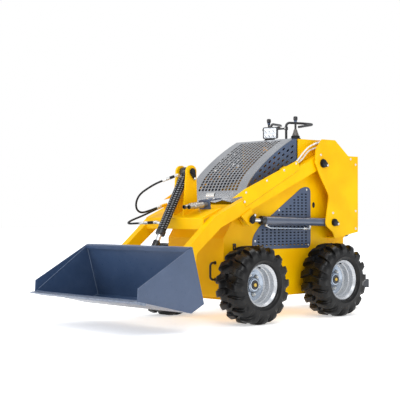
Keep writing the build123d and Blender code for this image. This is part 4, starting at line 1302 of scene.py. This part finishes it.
# ------------------------------------------------------------------ sheet metal
@dataclass
class SideSheets:
    """Slotted panels on both sides of the body, and the slotted infill beside the hood."""

    panel_y: float = 276.0
    sheet: float = 3.0
    hole: tuple[float, float] = (22.0, 9.0)
    pitch: tuple[float, float] = (40.3, 20.7)
    grille_columns: int = 13
    grille_rows: int = 18
    margin: float = 39.0
    infill_y: float = 265.0
    slot: tuple[float, float] = (29.0, 12.0)
    slot_slope: float = -33.0
    slot_start: tuple[float, float] = (-109.0, 1203.0)
    slot_step: tuple[float, float] = (47.0, -31.0)
    lane_step: tuple[float, float] = (-43.0, -9.0)
    roof_margin: float = 27.0

    OUTLINE = ((-331, 480), (-331, 911), (-245, 911), (196, 636), (264, 560), (264, 480))
    BOLTS = ((-289, 892), (-1, 746), (238, 536), (-306, 501), (247, 500))

    def oblong(self, places: Array, size: tuple[float, float], slope: float = 0.0) -> list[Array]:
        """Make round-cornered oblong outlines.

        Args:
            places: rows of their middles, as (x, z).
            size: their length and height.
            slope: the angle that they are turned by, in degrees.

        Returns:
            One outline for each place.
        """
        w, h = size[0] / 2, size[1] / 2
        shape = rounded([(-w, -h), (w, -h), (w, h), (-w, h)], min(w, h) * 0.9, 4)
        t = np.radians(slope)
        shape = shape @ np.array([[np.cos(t), np.sin(t)], [-np.sin(t), np.cos(t)]])
        return list(places[:, None] + shape[None])

    def grille(self) -> None:
        """Punch rows of short slots wherever the panel is wide enough for them."""
        x, z = np.meshgrid(203 - self.pitch[0] * np.arange(self.grille_columns),
                           508 + self.pitch[1] * np.arange(self.grille_rows), indexing="ij")
        slope_x, slope_z = np.asarray(self.OUTLINE[2:5], float).T
        edge = np.interp(x, slope_x, slope_z - self.margin)
        keep = (z < edge) & (z < 866)
        holes = self.oblong(np.stack([x[keep], z[keep]], -1), self.hole)
        outline = rounded(self.OUTLINE, 42, 7)
        panel = punched(outline, holes, self.panel_y, self.sheet)
        made = piece("side_grille_sheets", panel.both_sides(), SLATE, "chassis", smooth=30)
        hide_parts("side_grilles")
        heads = [(a, self.panel_y + self.sheet, b) for a, b in self.BOLTS]
        piece("side_grille_bolts", bolts(heads, LEFTWARD, 5.5).both_sides(), ZINC, "chassis")
        # a dark sheet behind the slots: painted shade of the body's inside, seen through them
        shade = slab(outline, self.panel_y - 10.5, self.panel_y - 9)
        piece("side_grille_painted_shade", shade.both_sides(), BELLOWS, "chassis")

    def infill(self) -> None:
        """Punch slanted slots in the panels between hood and arms.

        A slot's middle is slot_start + steps * slot_step + lanes * lane_step. Those are kept that lie well
        under the roof, and over a line that falls by 0.43 of the way forward.
        """
        hood = Hood()
        x, z = hood.outer(np.linspace(14, hood.length - 30, 40), 6.5)
        top = np.stack([x, z], -1)
        outline = np.vstack([[(-196, 1000), (-196, 1245), (-142, 1243)], top[1:], [(340, 764)]])
        lanes, steps = np.meshgrid(np.arange(-3, 7), np.arange(11), indexing="ij")
        px, pz = (start + steps * step + lanes * lane
                  for start, step, lane in zip(self.slot_start, self.slot_step, self.lane_step))
        roof = np.interp(px, x, z)
        keep = (pz < roof - self.roof_margin) & (pz > 1010 - (px + 150) * 0.43) & (px < 290) & (px > -178)
        holes = self.oblong(np.stack([px[keep], pz[keep]], -1), self.slot, self.slot_slope)
        panel = punched(outline, holes, self.infill_y, self.sheet)
        made = piece("hood_side_sheets", panel.both_sides(), SLATE, "chassis", smooth=30)
        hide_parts("hood_sides")

    def build(self) -> None:
        """Make both kinds of panel."""
        self.grille()
        self.infill()


# ------------------------------------------------------------------ small parts on the chassis
@dataclass
class ChassisTrim:
    """Bolts, keeper plates, grommets, tie rings and weld beads on the body."""

    tower_y: float = 360.0
    tower_bolt: float = 6.5
    pin_head: float = 9.0
    keeper_top: float = 14.0
    ring_y: float = 196.0
    ring_feet: tuple[float, float] = (287.0, 398.0)

    TOWER_BOLTS = ((-350, 1139), (-683, 1120), (-740, 1081), (-740, 741), (-482, 727), (-740, 612))

    # for each pin its middle, its keeper's bolt and the keeper's large radius
    PINS = (((-372, 1079), (-408, 1066), 28), ((-492, 659), (-526, 648), 26))

    WELDS = (((530, 276, 180), (530, 276, 560)), ((530, 276, 560), (460, 276, 664), (350, 276, 786)),
             ((-768, 352, 592), (-768, 352, 1138)))

    def build(self) -> None:
        """Make every piece of trim that rides on the chassis."""
        self.towers()
        self.rings()
        self.plugs()
        self.welds()

    def towers(self) -> None:
        """Make the towers' bolts, and the keeper plate, cap and bolt of each pin in them."""
        y = self.tower_y
        spots = [(a, y, b) for a, b in self.TOWER_BOLTS]
        piece("tower_bolts", bolts(spots, LEFTWARD, self.tower_bolt).both_sides(), ZINC, "chassis")
        heads, screws = [], []
        face, top = y + self.pin_head, y + self.keeper_top
        for (px, pz), (tx, tz), big in self.PINS:
            heads.append(teardrop((px, pz), (tx, tz), (big, 11), face + 0.2, top))
            heads.append(turned([(big * 0.82, 4.6), (big * 0.82, 9), (big * 0.7, 10.5), (0, 10.5)],
                                (px, face, pz), sides=36))
            screws.append((tx, top, tz))
        piece("tower_pin_keepers", joined(heads).both_sides(), PIN_STEEL, "chassis")
        piece("tower_keeper_bolts", bolts(screws, LEFTWARD, self.tower_bolt).both_sides(), ZINC, "chassis")

    def rings(self) -> None:
        """Bend the tie rings on the nose, each a bracket of round bar on two feet."""
        y, (low, high) = self.ring_y, self.ring_feet
        ring = [(530, y, high), (562, y, high), (576, y, high - 14), (576, y, low + 14), (562, y, low),
                (530, y, low)]
        rings = piece("tie_ring_rods", pipe(ring, 7.5, 16).both_sides(), BLACK, "chassis")
        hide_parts("tie_rings")
        feet = [rod((530.2, y, z), (536, y, z), 12.5, 24) for z in (low, high)]
        piece("tie_ring_feet", joined(feet).both_sides(), BLACK, "chassis")

    def plugs(self) -> None:
        """Make the oval rubber plugs in the side plates, and the small slotted brackets."""
        plug = turned([(16.8, -5), (16.8, 0.4), (20, 0.6), (20, 2.6), (17, 4), (14, 2), (0, 1.4)], sides=36)
        oval = Surface(plug.points * np.array([11 / 17, 1.0, 1.0]), plug.faces).moved(-365, 276, 784)
        piece("cable_plugs", oval.both_sides(), BELLOWS, "chassis")
        slot = rounded([(-5, -11), (5, -11), (5, 11), (-5, 11)], 4.5) + (434, 503)
        edge = rounded([(420, 481), (448, 481), (448, 525), (420, 525)], 5)
        piece("slot_brackets", punched(edge, [slot], 276.2, 5.0, 0.8).both_sides(), BLACK, "chassis")

    def welds(self) -> None:
        """Lay weld beads where the nose meets the side plates and along the tower's foot."""
        beads = [carried(evenly(np.asarray(run, float), 6.0)[1], circle(2.0, 8)) for run in self.WELDS]
        piece("body_weld_beads", joined(beads).moved(y=-1.6).both_sides(), YELLOW, "chassis")


# ------------------------------------------------------------------ controls
@dataclass
class Controls:
    """Rails, joysticks with bellows, and the work light."""

    deck: float = 1250.0
    foot: tuple[float, float] = (-300.0, 75.0)
    cross_rise: float = 92.0
    stick: tuple[float, float] = (-337.0, 132.0)
    stick_top: float = 1428.0
    knob_height: float = 36.0
    lamp: tuple[float, float] = (-227.0, -8.0)
    lamp_half: float = 54.0
    lamp_z: tuple[float, float] = (1266.0, 1351.0)
    lamp_turn: float = 22.0
    lamp_feet: float = 26.0
    cell_pitch: tuple[float, float] = (31.0, 18.0)

    # (depth, share of the outline's size) from the housing's back, over its rim, to behind the lens
    HOUSING = ((-22, 0.0), (-22, 0.78), (-18, 0.92), (10, 0.96), (12, 1.0), (22, 1.0), (23, 0.985),
               (23, 0.93), (18, 0.9), (18, 0.0))

    def rails(self) -> None:
        """Bend the two operator's rails and their cross bar, with sockets, clamps and clamp bolts."""
        x, y = self.foot
        steps = ((0, 0, 0), (0, 0, 118), (20, 5, 134), (140, 35, 134), (172, 58, 131), (182, 88, 126),
                 (164, 101, 120), (22, 101, 97))
        path = [(x - back, y + out, self.deck + rise) for back, out, rise in steps]
        rail = pipe(path, 9.0, 22, up=(0.25, 0.35, 0.2))
        cross = self.deck + self.cross_rise
        bar = rod((x, -y, cross), (x, y, cross), 6.3, 20)
        made = piece("operator_rails", rail.both_sides() + bar, BLACK, "chassis", smooth=50)
        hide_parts("hand_rails")
        base = turned([(24, 0), (24, 3), (12, 5), (9.4, 10)], (x, y, self.deck), UPWARD, 28)
        clamp = turned([(9.2, -12), (13, -12), (13, 12), (9.2, 12)], (x, y, cross), UPWARD, 24)
        piece("rail_sockets", (base + clamp).both_sides(), BLACK, "chassis")
        screws = bolts([(x + 13, y, cross)], FORWARD, 4.5)
        piece("rail_clamp_bolts", screws.both_sides(), ZINC, "chassis")

    def sticks(self) -> None:
        """Turn the joysticks: two-ring bellows, cone, shaft, collar and knob."""
        x, y = self.stick
        base, top = self.deck, self.stick_top
        boot = [(0, 0), (40, 0), (40.4, 4), (37, 8), (36, 11), (38, 14), (37.6, 18), (33, 22), (31, 26),
                (32.6, 30), (31, 34), (26, 38), (0, 38)]
        cone = [(25, 37), (22, 48), (16, 64), (12.4, 80), (9, 84), (0, 84)]
        shaft = [(7.6, 80), (7.6, 132), (9.4, 134), (9.4, 140), (0, 140)]
        low = top - base - self.knob_height
        collar = [(0, low - 6), (9.8, low - 6), (11.4, low), (11.4, low + 5), (0, low + 5)]
        knob = [(0, low + 4), (10, low + 4), (14.4, low + 8), (15.6, low + 16), (15.4, low + 28),
                (12.6, low + 34), (8, low + self.knob_height), (0, low + self.knob_height)]
        for name, profile, finish in (("stick_bellows", boot, BELLOWS), ("stick_cones", cone, BOOT),
                                      ("stick_shafts", shaft, BLACK), ("stick_collars", collar, SLATE),
                                      ("stick_knobs", knob, BLACK)):
            shape = turned(profile, (x, y, base), UPWARD, 40).both_sides()
            made = piece(name, shape, finish, "chassis", smooth=45)
            if name == "stick_shafts":
                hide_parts("control_levers")

    def light(self) -> None:
        """Make the work light: rimmed housing, cooling ribs, lens and its six cells, on two feet."""
        half, (low, high) = self.lamp_half, self.lamp_z
        middle = (low + high) / 2
        body = rounded([(-half, low), (half, low), (half, high), (-half, high)], 11, 5)

        def ring(depth: float, share: float) -> Array:
            """Return the housing's outline at a depth, drawn to a share of its size."""
            flat = np.array([0.0, middle]) + (body - (0.0, middle)) * share
            return np.stack([np.full(len(body), depth), flat[:, 0], flat[:, 1]], -1)

        shell = grid(np.stack([ring(*station) for station in self.HOUSING]), wrap_columns=True)
        ribs = joined(box((-27, y - 1.5, low + 14), (-20, y + 1.5, high - 14)) for y in range(-36, 37, 9))
        cell = turned([(13.4, 0), (13.4, 1.8), (10.6, 3), (3, 0.9), (0, 2.2)], ORIGIN, FORWARD, 24)
        across, rise = self.cell_pitch
        spots = [(18.6, a, middle + b) for a in (-across, 0, across) for b in (-rise, rise)]
        glass = box((18.1, -half * 0.88, low + 6), (18.8, half * 0.88, high - 6))
        x, y = self.lamp
        feet = joined(box((x - 6, y + out - 7, self.deck), (x + 6, y + out + 7, low + 6))
                      for out in (-self.lamp_feet, self.lamp_feet))
        made = piece("lamp_housing", self.turned_lamp(shell + ribs) + feet, BLACK, "chassis", smooth=40)
        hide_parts("work_light")
        piece("lamp_cells", self.turned_lamp(cell.repeated(spots)), CHROME, "chassis")
        piece("lamp_backing", self.turned_lamp(glass), LENS, "chassis")

    def turned_lamp(self, shape: Surface) -> Surface:
        """Swivel a shape of the lamp about its upright middle line and put it in place.

        Args:
            shape: the shape, facing forward over the origin.

        Returns:
            The shape in its place.
        """
        t = np.radians(self.lamp_turn)
        swivel = np.array([[np.cos(t), np.sin(t), 0], [-np.sin(t), np.cos(t), 0], [0, 0, 1.0]])
        return Surface(shape.points @ swivel, shape.faces).moved(*self.lamp, 0)

    def build(self) -> None:
        """Make all controls."""
        self.rails()
        self.sticks()
        self.light()


# ------------------------------------------------------------------ boom
@dataclass
class BoomTrim:
    """Keeper plates, bolts, couplers, fittings and welds that ride on the boom."""

    arm_outer: float = 340.0
    ear_outer: float = 58.0

    coupler_base: tuple[float, float, float] = (585.0, 0.0, 786.0)
    coupler_tip: tuple[float, float, float] = (748.0, 0.0, 765.0)
    coupler_ys: tuple[float, float] = (126.0, 174.0)
    knurls: int = 30
    bracket_slope: float = -7.35

    GUARD_BOLTS = ((-104, 1070), (19, 1020), (190, 945), (390, 862), (404, 800))

    # (radius, distance along) of a coupler's body with its sleeve and rings, and of its mouth
    COUPLER_BODY = ((0, 0), (12.6, 0), (12.6, 30), (15.6, 34), (18.8, 38), (18.8, 44), (17.4, 45.5),
                    (17.4, 50), (18.8, 51.5), (18.8, 100), (17.4, 102), (17.4, 106), (18.6, 108),
                    (18.6, 111), (13.8, 114), (13.8, 158))
    COUPLER_MOUTH = ((13.8, 156), (13.8, 163), (12, 164), (9, 164), (8.4, 152), (0, 152))

    def couplers(self) -> None:
        """Turn the two quick couplers: body, knurled sleeve, rings and dark mouth."""
        base = np.array(self.coupler_base)
        axis = np.array(self.coupler_tip) - base
        aim = unit(axis)
        places = [(0, y, 0) for y in self.coupler_ys]
        bodies = turned(self.COUPLER_BODY, base, axis, 36).repeated(places)
        made = piece("coupler_bodies", bodies, COUPLER, "boom", smooth=40)
        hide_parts("quick_couplers")
        mouths = turned(self.COUPLER_MOUTH, base, axis, 30).repeated(places)
        piece("coupler_mouths", mouths, BELLOWS, "boom")
        angle = np.arange(self.knurls) * 2 * np.pi / self.knurls
        ridge = rod(base + aim * 54, base + aim * 97, 0.9, 6, 0.3)
        side = unit(np.cross(axis, LEFTWARD))
        around = 18.7 * (np.cos(angle)[:, None] * side + np.sin(angle)[:, None] * np.array(LEFTWARD))
        knurl = joined(ridge.repeated(around + np.asarray(place)) for place in places)
        piece("coupler_knurls", knurl, COUPLER, "boom")

    def keepers(self) -> None:
        """Make the pin keepers on the ears and on the lift clevises, and the guard's bolts."""
        heads, screws = [], []
        for (px, pz), (tx, tz), big, y in (((614, 1002), (597, 957), 24, self.ear_outer + 9.2),
                                           ((345, 681), (322, 712), 26, self.arm_outer + 17.2)):
            heads.append(teardrop((px, pz), (tx, tz), (big, 10), y, y + 4.5))
            heads.append(turned([(17, 4.4), (17, 8), (15.4, 9.4), (0, 9.4)], (px, y, pz)))
            screws.append((tx, y + 4.5, tz))
        piece("boom_pin_keepers", joined(heads).both_sides(), PIN_STEEL, "boom")
        screws += [(x, self.arm_outer + 5.0, z) for x, z in self.GUARD_BOLTS]
        piece("boom_bolts", bolts(screws, LEFTWARD, 6.0).both_sides(), ZINC, "boom")
        x, z = along(self.coupler_base[::2], self.bracket_slope, -60, 26)
        piece("bracket_bolt", bolts([(x, 120, z), (x, 180, z)], UPWARD, 7), ZINC, "boom")

    def fittings(self) -> None:
        """Turn hexagons and unions over the elbows at the hoses' far ends."""
        parts = []
        for hose in HOSES:
            route = np.asarray(hose.route, float)
            inner, end = route[-2:] if hose.name.startswith("tilt") else route[1::-1]
            parts.append(turned([(0, 1), (9.8, 1), (9.8, 11), (8.6, 12.5), (0, 12.5)], end, end - inner, 6))
            parts.append(turned([(0, 12), (8.2, 12), (8.2, 22), (0, 22)], end, end - inner, 24))
        piece("hose_unions", joined(parts), ZINC, "boom")

    def welds(self) -> None:
        """Lay beads round the ears' feet and along the cross beam's ends, and a brown line of painted shade
        along the guard's lower edge.
        """
        beads = [carried(np.linspace((555, y, 762), (690, y, 709), 26), circle(2.2, 8), UPWARD)
                 for y in (42, self.ear_outer)]
        beads.append(carried(np.linspace((563, 284, 759), (722, 284, 696), 26), circle(2.4, 8), UPWARD))
        y = self.arm_outer + 0.6
        # a brown line along the guard's lower edge: painted shade of the gap under the guard
        gap_shade_line = carried(np.linspace((386, y, 767), (-137, y, 1027), 60), circle(1.8, 8), UPWARD)
        piece("guard_gap_painted_shade", gap_shade_line.both_sides(), GUARD_GAP_SHADE, "boom")
        piece("boom_weld_beads", joined(beads).both_sides(), YELLOW, "boom")

    def build(self) -> None:
        """Make everything that rides on the boom."""
        self.couplers()
        self.keepers()
        self.fittings()
        self.welds()


# ------------------------------------------------------------------ cylinders
def eye_section(bore: float, radius: float, half: float, chamfer: float, step: float) -> Profile:
    """Give the closed profile of a cylinder's eye, to be turned round its pin.

    Args:
        bore: the hole's radius.
        radius: the eye's radius.
        half: half its width.
        chamfer: how far the chamfer runs along the pin.
        step: how far it runs inwards.

    Returns:
        Rows of (radius, height).
    """
    return [(bore, -half), (radius - step, -half), (radius, chamfer - half), (radius, half - chamfer),
            (radius - step, half), (bore, half), (bore, -half)]


@dataclass
class LiftCylinders:
    """Two lift cylinders: barrel with its eye, gland, feed line and its unions."""

    rear: tuple[float, float] = (-492.0, 659.0)
    front: tuple[float, float] = (345.0, 681.0)
    y: float = 315.0
    radius: float = 28.5
    length: float = 715.0
    gland: float = 34.0

    def build(self) -> None:
        """Make both cylinders, the right one mirrored."""
        slope = float(np.degrees(np.arctan2(self.front[1] - self.rear[1], self.front[0] - self.rear[0])))
        base = (self.rear[0], self.y, self.rear[1])
        aim = (np.cos(np.radians(slope)), 0.0, np.sin(np.radians(slope)))
        neck, r = self.length - self.gland, self.radius
        barrel = [(0, 26), (r + 3.4, 26), (r + 3.9, 28), (r + 3.9, 38), (r + 1, 40), (r, 42), (r, neck - 4),
                  (r - 1, neck - 2), (r - 1, neck)]
        gland = [(r - 1.4, neck - 2), (r + 2.8, neck), (r + 2.8, neck + 8), (r + 1.2, neck + 10),
                 (r + 1.2, neck + 13), (r + 2.8, neck + 15), (r + 2.8, neck + 30), (r, neck + 33.5),
                 (17, neck + 33.8), (15.4, neck + 30)]
        eye = turned(eye_section(17.6, 32, 20, 1.5, 1.0), base, sides=40)

        def at(distance: float, rise: float) -> tuple[float, float, float]:
            """Return the place at a distance along the barrel and a rise from its middle line."""
            x, z = along(self.rear, slope, distance, rise)
            return (x, self.y, z)

        low, wall, entry = -50, -r + 2, neck - 24
        feed = [at(entry, wall), at(entry, -35), at(neck - 60, low), at(210, low), at(210, wall)]
        tee = [rod(at(240, low), at(272, low), 9.0, 6), rod(at(210, -44), at(210, -26), 9.0, 6),
               rod(at(entry, -42), at(entry, -26), 9.0, 6)]
        parts = (("tube", turned(barrel, base, aim, 56) + eye, DARK_SLATE),
                 ("gland", turned(gland, base, aim, 56), BLACK),
                 ("feed_line", pipe(feed, 6.0, 18), DISC), ("unions", joined(tee), ZINC))
        for side_of in Side:
            side = side_of.name.lower()
            for name, shape, finish in parts:
                form = shape if side_of is Side.LEFT else shape.mirrored()
                made = piece(f"lift_{name}_{side}", form, finish, f"lift_barrel_{side}", smooth=40)
                if name == "tube":
                    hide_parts(f"lift_barrel_{side}")


@dataclass
class TiltCylinder:
    """The tilt cylinder in its moulded guard, with its two ports, its gland, its rod and the rod's end."""

    top: tuple[float, float] = (614.0, 1002.0)
    low: tuple[float, float] = (905.0, 478.0)
    radius: float = 28.0
    length: float = 478.0
    gland: float = 30.0
    stations: tuple[float, float] = (48.0, 400.0)
    port_run: float = 88.4
    mark_columns: int = 8
    mark_pitch: float = 16.0

    @property
    def base(self) -> Array:
        """Return the middle of the upper eye."""
        return np.array([self.top[0], 0.0, self.top[1]])

    @property
    def aim(self) -> Array:
        """Return the direction from the upper eye to the lower one."""
        return unit(np.array([self.low[0] - self.top[0], 0.0, self.low[1] - self.top[1]]))

    def build(self) -> None:
        """Make barrel, guard, gland, ports, rod and eyes."""
        base, aim, r, neck = self.base, self.aim, self.radius, self.length - self.gland
        barrel = turned([(0, 20), (r, 24), (r, neck - 3), (0, neck - 3)], base, aim, 48)
        eye = turned(eye_section(17.6, 33, 30, 1.5, 1.0), base, sides=40)
        made = piece("tilt_tube", barrel + eye, BLACK, "tilt_barrel", smooth=40)
        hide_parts("tilt_barrel")
        piece("tilt_guard", self.guard(34, neck - 6), HOSE, "tilt_barrel", smooth=50)
        # pale pads on the guard: painted highlights on its pressed ridges
        piece("tilt_guard_marks", self.marks(42, neck - 14), GUARD_HIGHLIGHT, "tilt_barrel", smooth=None)
        gland = [(r - 2, neck - 5), (r + 2, neck - 3), (r + 4.8, neck), (r + 4.8, neck + 26),
                 (r + 2, neck + 29.5), (18, neck + 29.8), (17.4, neck + 26)]
        piece("tilt_gland", turned(gland, base, aim, 48), BLACK, "tilt_barrel")
        self.ports()
        self.shaft()

    def ports(self) -> None:
        """Bend the pipe from each port to its hose, with hexagons, an end cap and a rubber sleeve."""
        ports, caps, sleeves = [], [], []
        for hose, station in zip(HOSES, self.stations):
            first, second = (np.asarray(point, float) for point in hose.route[:2])
            heading = unit(second - first)
            corner = first - heading * self.port_run
            foot = self.base + self.aim * station
            ports.append(pipe([foot, corner, first - heading * 0.4], 8.8, 14, up=(0.3, 0.2, 0.9)))
            ports.append(rod(first - heading * 26, first - heading * 1.0, 11.0, 6))
            ports.append(rod(corner - heading * 4, corner + heading * 20, 11.5, 6))
            caps.append(rod(corner - heading * 4, corner - heading * 16, 9.5, 6))
            sleeves.append(rod(corner + heading * 24, first - heading * 27, 9.8, 18))
        piece("tilt_port_pipes", joined(ports), ZINC, "tilt_barrel", smooth=40)
        piece("tilt_port_caps", joined(caps), BRASS, "tilt_barrel")
        piece("tilt_port_sleeves", joined(sleeves), HOSE, "tilt_barrel")

    def shaft(self) -> None:
        """Turn the chromed rod, and its end with the lower eye."""
        base, aim = self.base, self.aim
        reach = float(np.hypot(self.low[0] - self.top[0], self.low[1] - self.top[1]))
        shaft = turned([(0, 96), (17, 96), (17, reach - 74), (0, reach - 74)], base, aim, 40)
        rod_end = turned([(17, reach - 78), (22, reach - 76), (24, reach - 73), (24, reach - 27),
                          (0, reach - 27)], base, aim, 40)
        low_eye = turned(eye_section(18.6, 33, 30, 1.5, 1.0), (self.low[0], 0, self.low[1]), sides=40)
        made = piece("tilt_shaft", shaft, CHROME, "tilt_rod", smooth=40)
        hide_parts("tilt_rod")
        piece("tilt_shaft_end", rod_end + low_eye, BLACK, "tilt_rod", smooth=40)

    def marks(self, start: float, end: float) -> Surface:
        """Scatter slanted raised pads over the guard in a regular stagger, like its pressed diamonds.

        A pad's corner at an angle a and a distance s goes to base + s*aim + r*(cos a * side + sin a * rise);
        each pad has four corners on the guard and four smaller ones above them.

        Args:
            start: distance from the upper eye to the first row.
            end: distance to the last one.

        Returns:
            The pads, open below.
        """
        base, aim, side = self.base, self.aim, np.array(LEFTWARD)
        rise = np.cross(aim, side)
        column = np.arange(self.mark_columns)
        angle, row = np.meshgrid(column * 2 * np.pi / self.mark_columns,
                                 np.arange(start, end, self.mark_pitch), indexing="ij")
        row = row + self.mark_pitch / 2 * (column % 2)[:, None]
        corners = ((-1.0, -1.0), (1.0, -1.0), (1.0, 1.0), (-1.0, 1.0))
        points = []
        for size, lift in ((1.0, 0.4), (0.62, 2.6)):
            for across, ahead in corners:
                a = angle + across * size * 0.24
                s = row + ahead * size * 3.6 + across * size * 3.4
                radial = np.cos(a)[..., None] * side + np.sin(a)[..., None] * rise
                points.append(base + s[..., None] * aim + (self.radius + lift) * radial)
        stacked = np.stack(points, -2).reshape(-1, 3)
        quads = np.array([(4, 5, 6, 7), (0, 1, 5, 4), (1, 2, 6, 5), (2, 3, 7, 6), (3, 0, 4, 7)])
        first = np.arange(len(stacked) // 8)[:, None, None] * 8
        made = Surface(stacked, [(quads[None] + first).reshape(-1, 4)])
        a, b, c = stacked[made.faces[0][0][:3]]
        outward = np.dot(np.cross(b - a, c - b), a - base - np.dot(a - base, aim) * aim) > 0
        return made if outward else made.flipped()

    def guard(self, start: float, end: float) -> Surface:
        """Make the guard with its low crossed ridges.

        At an angle a and a distance s its radius is R + 0.3 + 1.7*(1 - |sin(8a + ks) * sin(8a - ks)|)^2.

        Args:
            start: distance from the upper eye to the guard's beginning.
            end: distance to its end.

        Returns:
            The open tube.
        """
        base, aim, side = self.base, self.aim, np.array(LEFTWARD)
        rise = np.cross(aim, side)
        s = np.arange(start, end, 2.6)
        a = np.arange(128) * 2 * np.pi / 128
        wave = np.abs(np.sin(8 * a[None] + s[:, None] * 0.2) * np.sin(8 * a[None] - s[:, None] * 0.2))
        radius = self.radius + 0.3 + 1.7 * (1 - wave) ** 2
        ring = np.cos(a)[:, None] * side + np.sin(a)[:, None] * rise
        made = grid(base + s[:, None, None] * aim + radius[..., None] * ring[None], wrap_columns=True)
        return made.flipped()


# ------------------------------------------------------------------ bucket and platform
@dataclass
class BucketTrim:
    """Weld beads, pressed creases and pin bolts on the bucket; the beads and creases are painted pale, as
    painted highlights.
    """

    half: float = 523.0

    # (x, z) down the rear edge of a side plate and along its floor
    INSET = ((1052, 512), (958, 176), (1054, 133), (1455, 226))

    def build(self) -> None:
        """Make the beads inside the side plates, the crease across each, the lip's bead and the bolts."""
        y = self.half - 2
        beads = []
        for (x0, z0), (x1, z1) in zip(self.INSET, self.INSET[1:]):
            count = max(int(np.hypot(x1 - x0, z1 - z0) / 7), 3)
            beads.append(carried(np.linspace((x0, y, z0), (x1, y, z1), count), circle(3.0, 8)))
        # the beads, the creases and the lip's bead are painted pale: painted highlights along their edges
        piece("bucket_weld_beads", joined(beads).both_sides(), BUCKET_HIGHLIGHT_COAT, "bucket", smooth=60)
        y = self.half - 0.6
        crease = carried(np.linspace((1050, y, 508), (1440, y, 236), 30), circle(2.2, 8))
        piece("bucket_side_creases", crease.both_sides(), BUCKET_HIGHLIGHT_COAT, "bucket", smooth=60)
        edge = np.linspace((1040, -self.half, 518), (1040, self.half, 518), 30)
        lip = carried(edge, circle(4.0, 10), UPWARD)
        piece("bucket_lip_bead", lip, BUCKET_HIGHLIGHT_COAT, "bucket", smooth=60)
        piece("bucket_pin_bolts", bolts([(895.0, 366.0, 270.0)], LEFTWARD, 8).both_sides(), ZINC, "bucket")


@dataclass
class PlatformTrim:
    """Raised tread on the platform, and the louvres and bolts of the rear panel and the upright."""

    deck_z: float = 220.0
    tread_pitch: int = 30
    louvre_x: float = -767.6
    louvre_half: float = 150.0
    louvre_rows: range = range(930, 1051, 24)

    BAR = ((-9, -2.2), (0, -3.2), (9, -2.2), (9, 2.2), (0, 3.2), (-9, 2.2))

    def build(self) -> None:
        """Make the tread, the louvres and the bolts."""
        self.tread()
        self.louvres()
        corners = [(-768, y, z) for y in (-325, 325) for z in (650, 880, 1110)]
        piece("rear_panel_bolts", bolts(corners, (-1, 0, 0), 6.5), ZINC, "chassis")
        spots = [(-812, y, z) for y in (-120, 120) for z in (300, 420)]
        piece("upright_bolts", bolts(spots, (-1, 0, 0), 7), BRASS, "chassis")

    def tread(self) -> None:
        """Lay crossed bars over the deck: every second one is turned by a right angle."""
        shape = np.asarray(self.BAR, float)
        step = self.tread_pitch
        marks = []
        for turn, shift in ((45, 0.0), (-45, 1.0)):
            t = np.radians(turn)
            flat = shape @ np.array([[np.cos(t), np.sin(t)], [-np.sin(t), np.cos(t)]])
            low = np.hstack([flat, np.full((6, 1), self.deck_z)])
            high = np.hstack([flat * 0.7, np.full((6, 1), self.deck_z + 1.6)])
            ring = grid(np.stack([low, high]), wrap_columns=True)
            mark = Surface(ring.points, ring.faces + [np.arange(6, 12)[None]])
            x, y = np.meshgrid(np.arange(-1055, -825, step), np.arange(-225, 226, step), indexing="ij")
            odd = (np.arange(x.shape[0])[:, None] + np.arange(x.shape[1])[None]) % 2 == shift
            marks.append(mark.repeated(np.stack([x[odd], y[odd], np.zeros(odd.sum())], -1)))
        piece("platform_tread", joined(marks), DECK, "chassis", smooth=None)

    def louvres(self) -> None:
        """Press the rear panel's louvres, each a half-round ridge with a dark strip under it, painted shade
        of its slit.
        """
        x, half = self.louvre_x, self.louvre_half
        louvres = [carried(np.linspace((x, -half, z), (x, half, z), 14), circle(6.0, 12), UPWARD)
                   for z in self.louvre_rows]
        piece("rear_louvres", joined(louvres), YELLOW, "chassis", smooth=60)
        # thin dark strips under the louvres: painted shade where their slits would be
        slit_shade = joined(box((-769.2, -146, z - 10), (-768.1, 146, z - 6.5)) for z in self.louvre_rows)
        piece("rear_louvre_painted_shade", slit_shade, BELLOWS, "chassis")


def dress_nodes() -> None:
    """Finish every carried-over node."""
    dress(YELLOW, "main_frame", "towers", "boom_arm_left", "boom_arm_right", "boom_crossbeam",
          "lift_brackets", "hose_guards", "rear_panel")
    dress(SLATE, "control_deck", "coupler_bracket", "hitch_plate", "platform_frame", "side_grilles",
          "hood_sides")
    dress(BUCKET, "bucket_shell", "bucket_sides")
    dress(WORN_STEEL, "cutting_edge")
    dress(DECK, "platform_deck")
    dress(ENGINE, "engine_block", "drive_motors")
    dress(PIN_STEEL, "tower_pins", "boom_pins", "bucket_pins")
    dress(CHROME, "lift_rod_left", "lift_rod_right")
    dress(HOOD, "hood_lid")
    dress(BLACK, "tie_rings", "hand_rails", "control_levers", "work_light", "tilt_barrel", "tilt_rod",
          "lift_barrel_left", "lift_barrel_right")
    dress(ZINC, "arm_hose_elbows", "quick_couplers")
    dress(HOSE, "tilt_hose_upper", "tilt_hose_lower")
    dress(WHITE_HOSE, "arm_hose_upper", "arm_hose_lower")
    for corner in Corner:
        dress(RIM, "rim_" + corner.name.lower())
        dress(TYRE, "tyre_" + corner.name.lower())


def main() -> None:
    """Build everything in order."""
    logging.basicConfig(level=logging.INFO, format="%(name)s %(message)s")
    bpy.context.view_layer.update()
    Studio().build()
    for hose in HOSES:
        hose.build()
    dress_nodes()
    for assembly in (Wheels(), Hood(), SideSheets(), ChassisTrim(), Controls(), BoomTrim(), LiftCylinders(),
                     TiltCylinder(), BucketTrim(), PlatformTrim()):
        assembly.build()


if __name__ == "__main__":
    main()
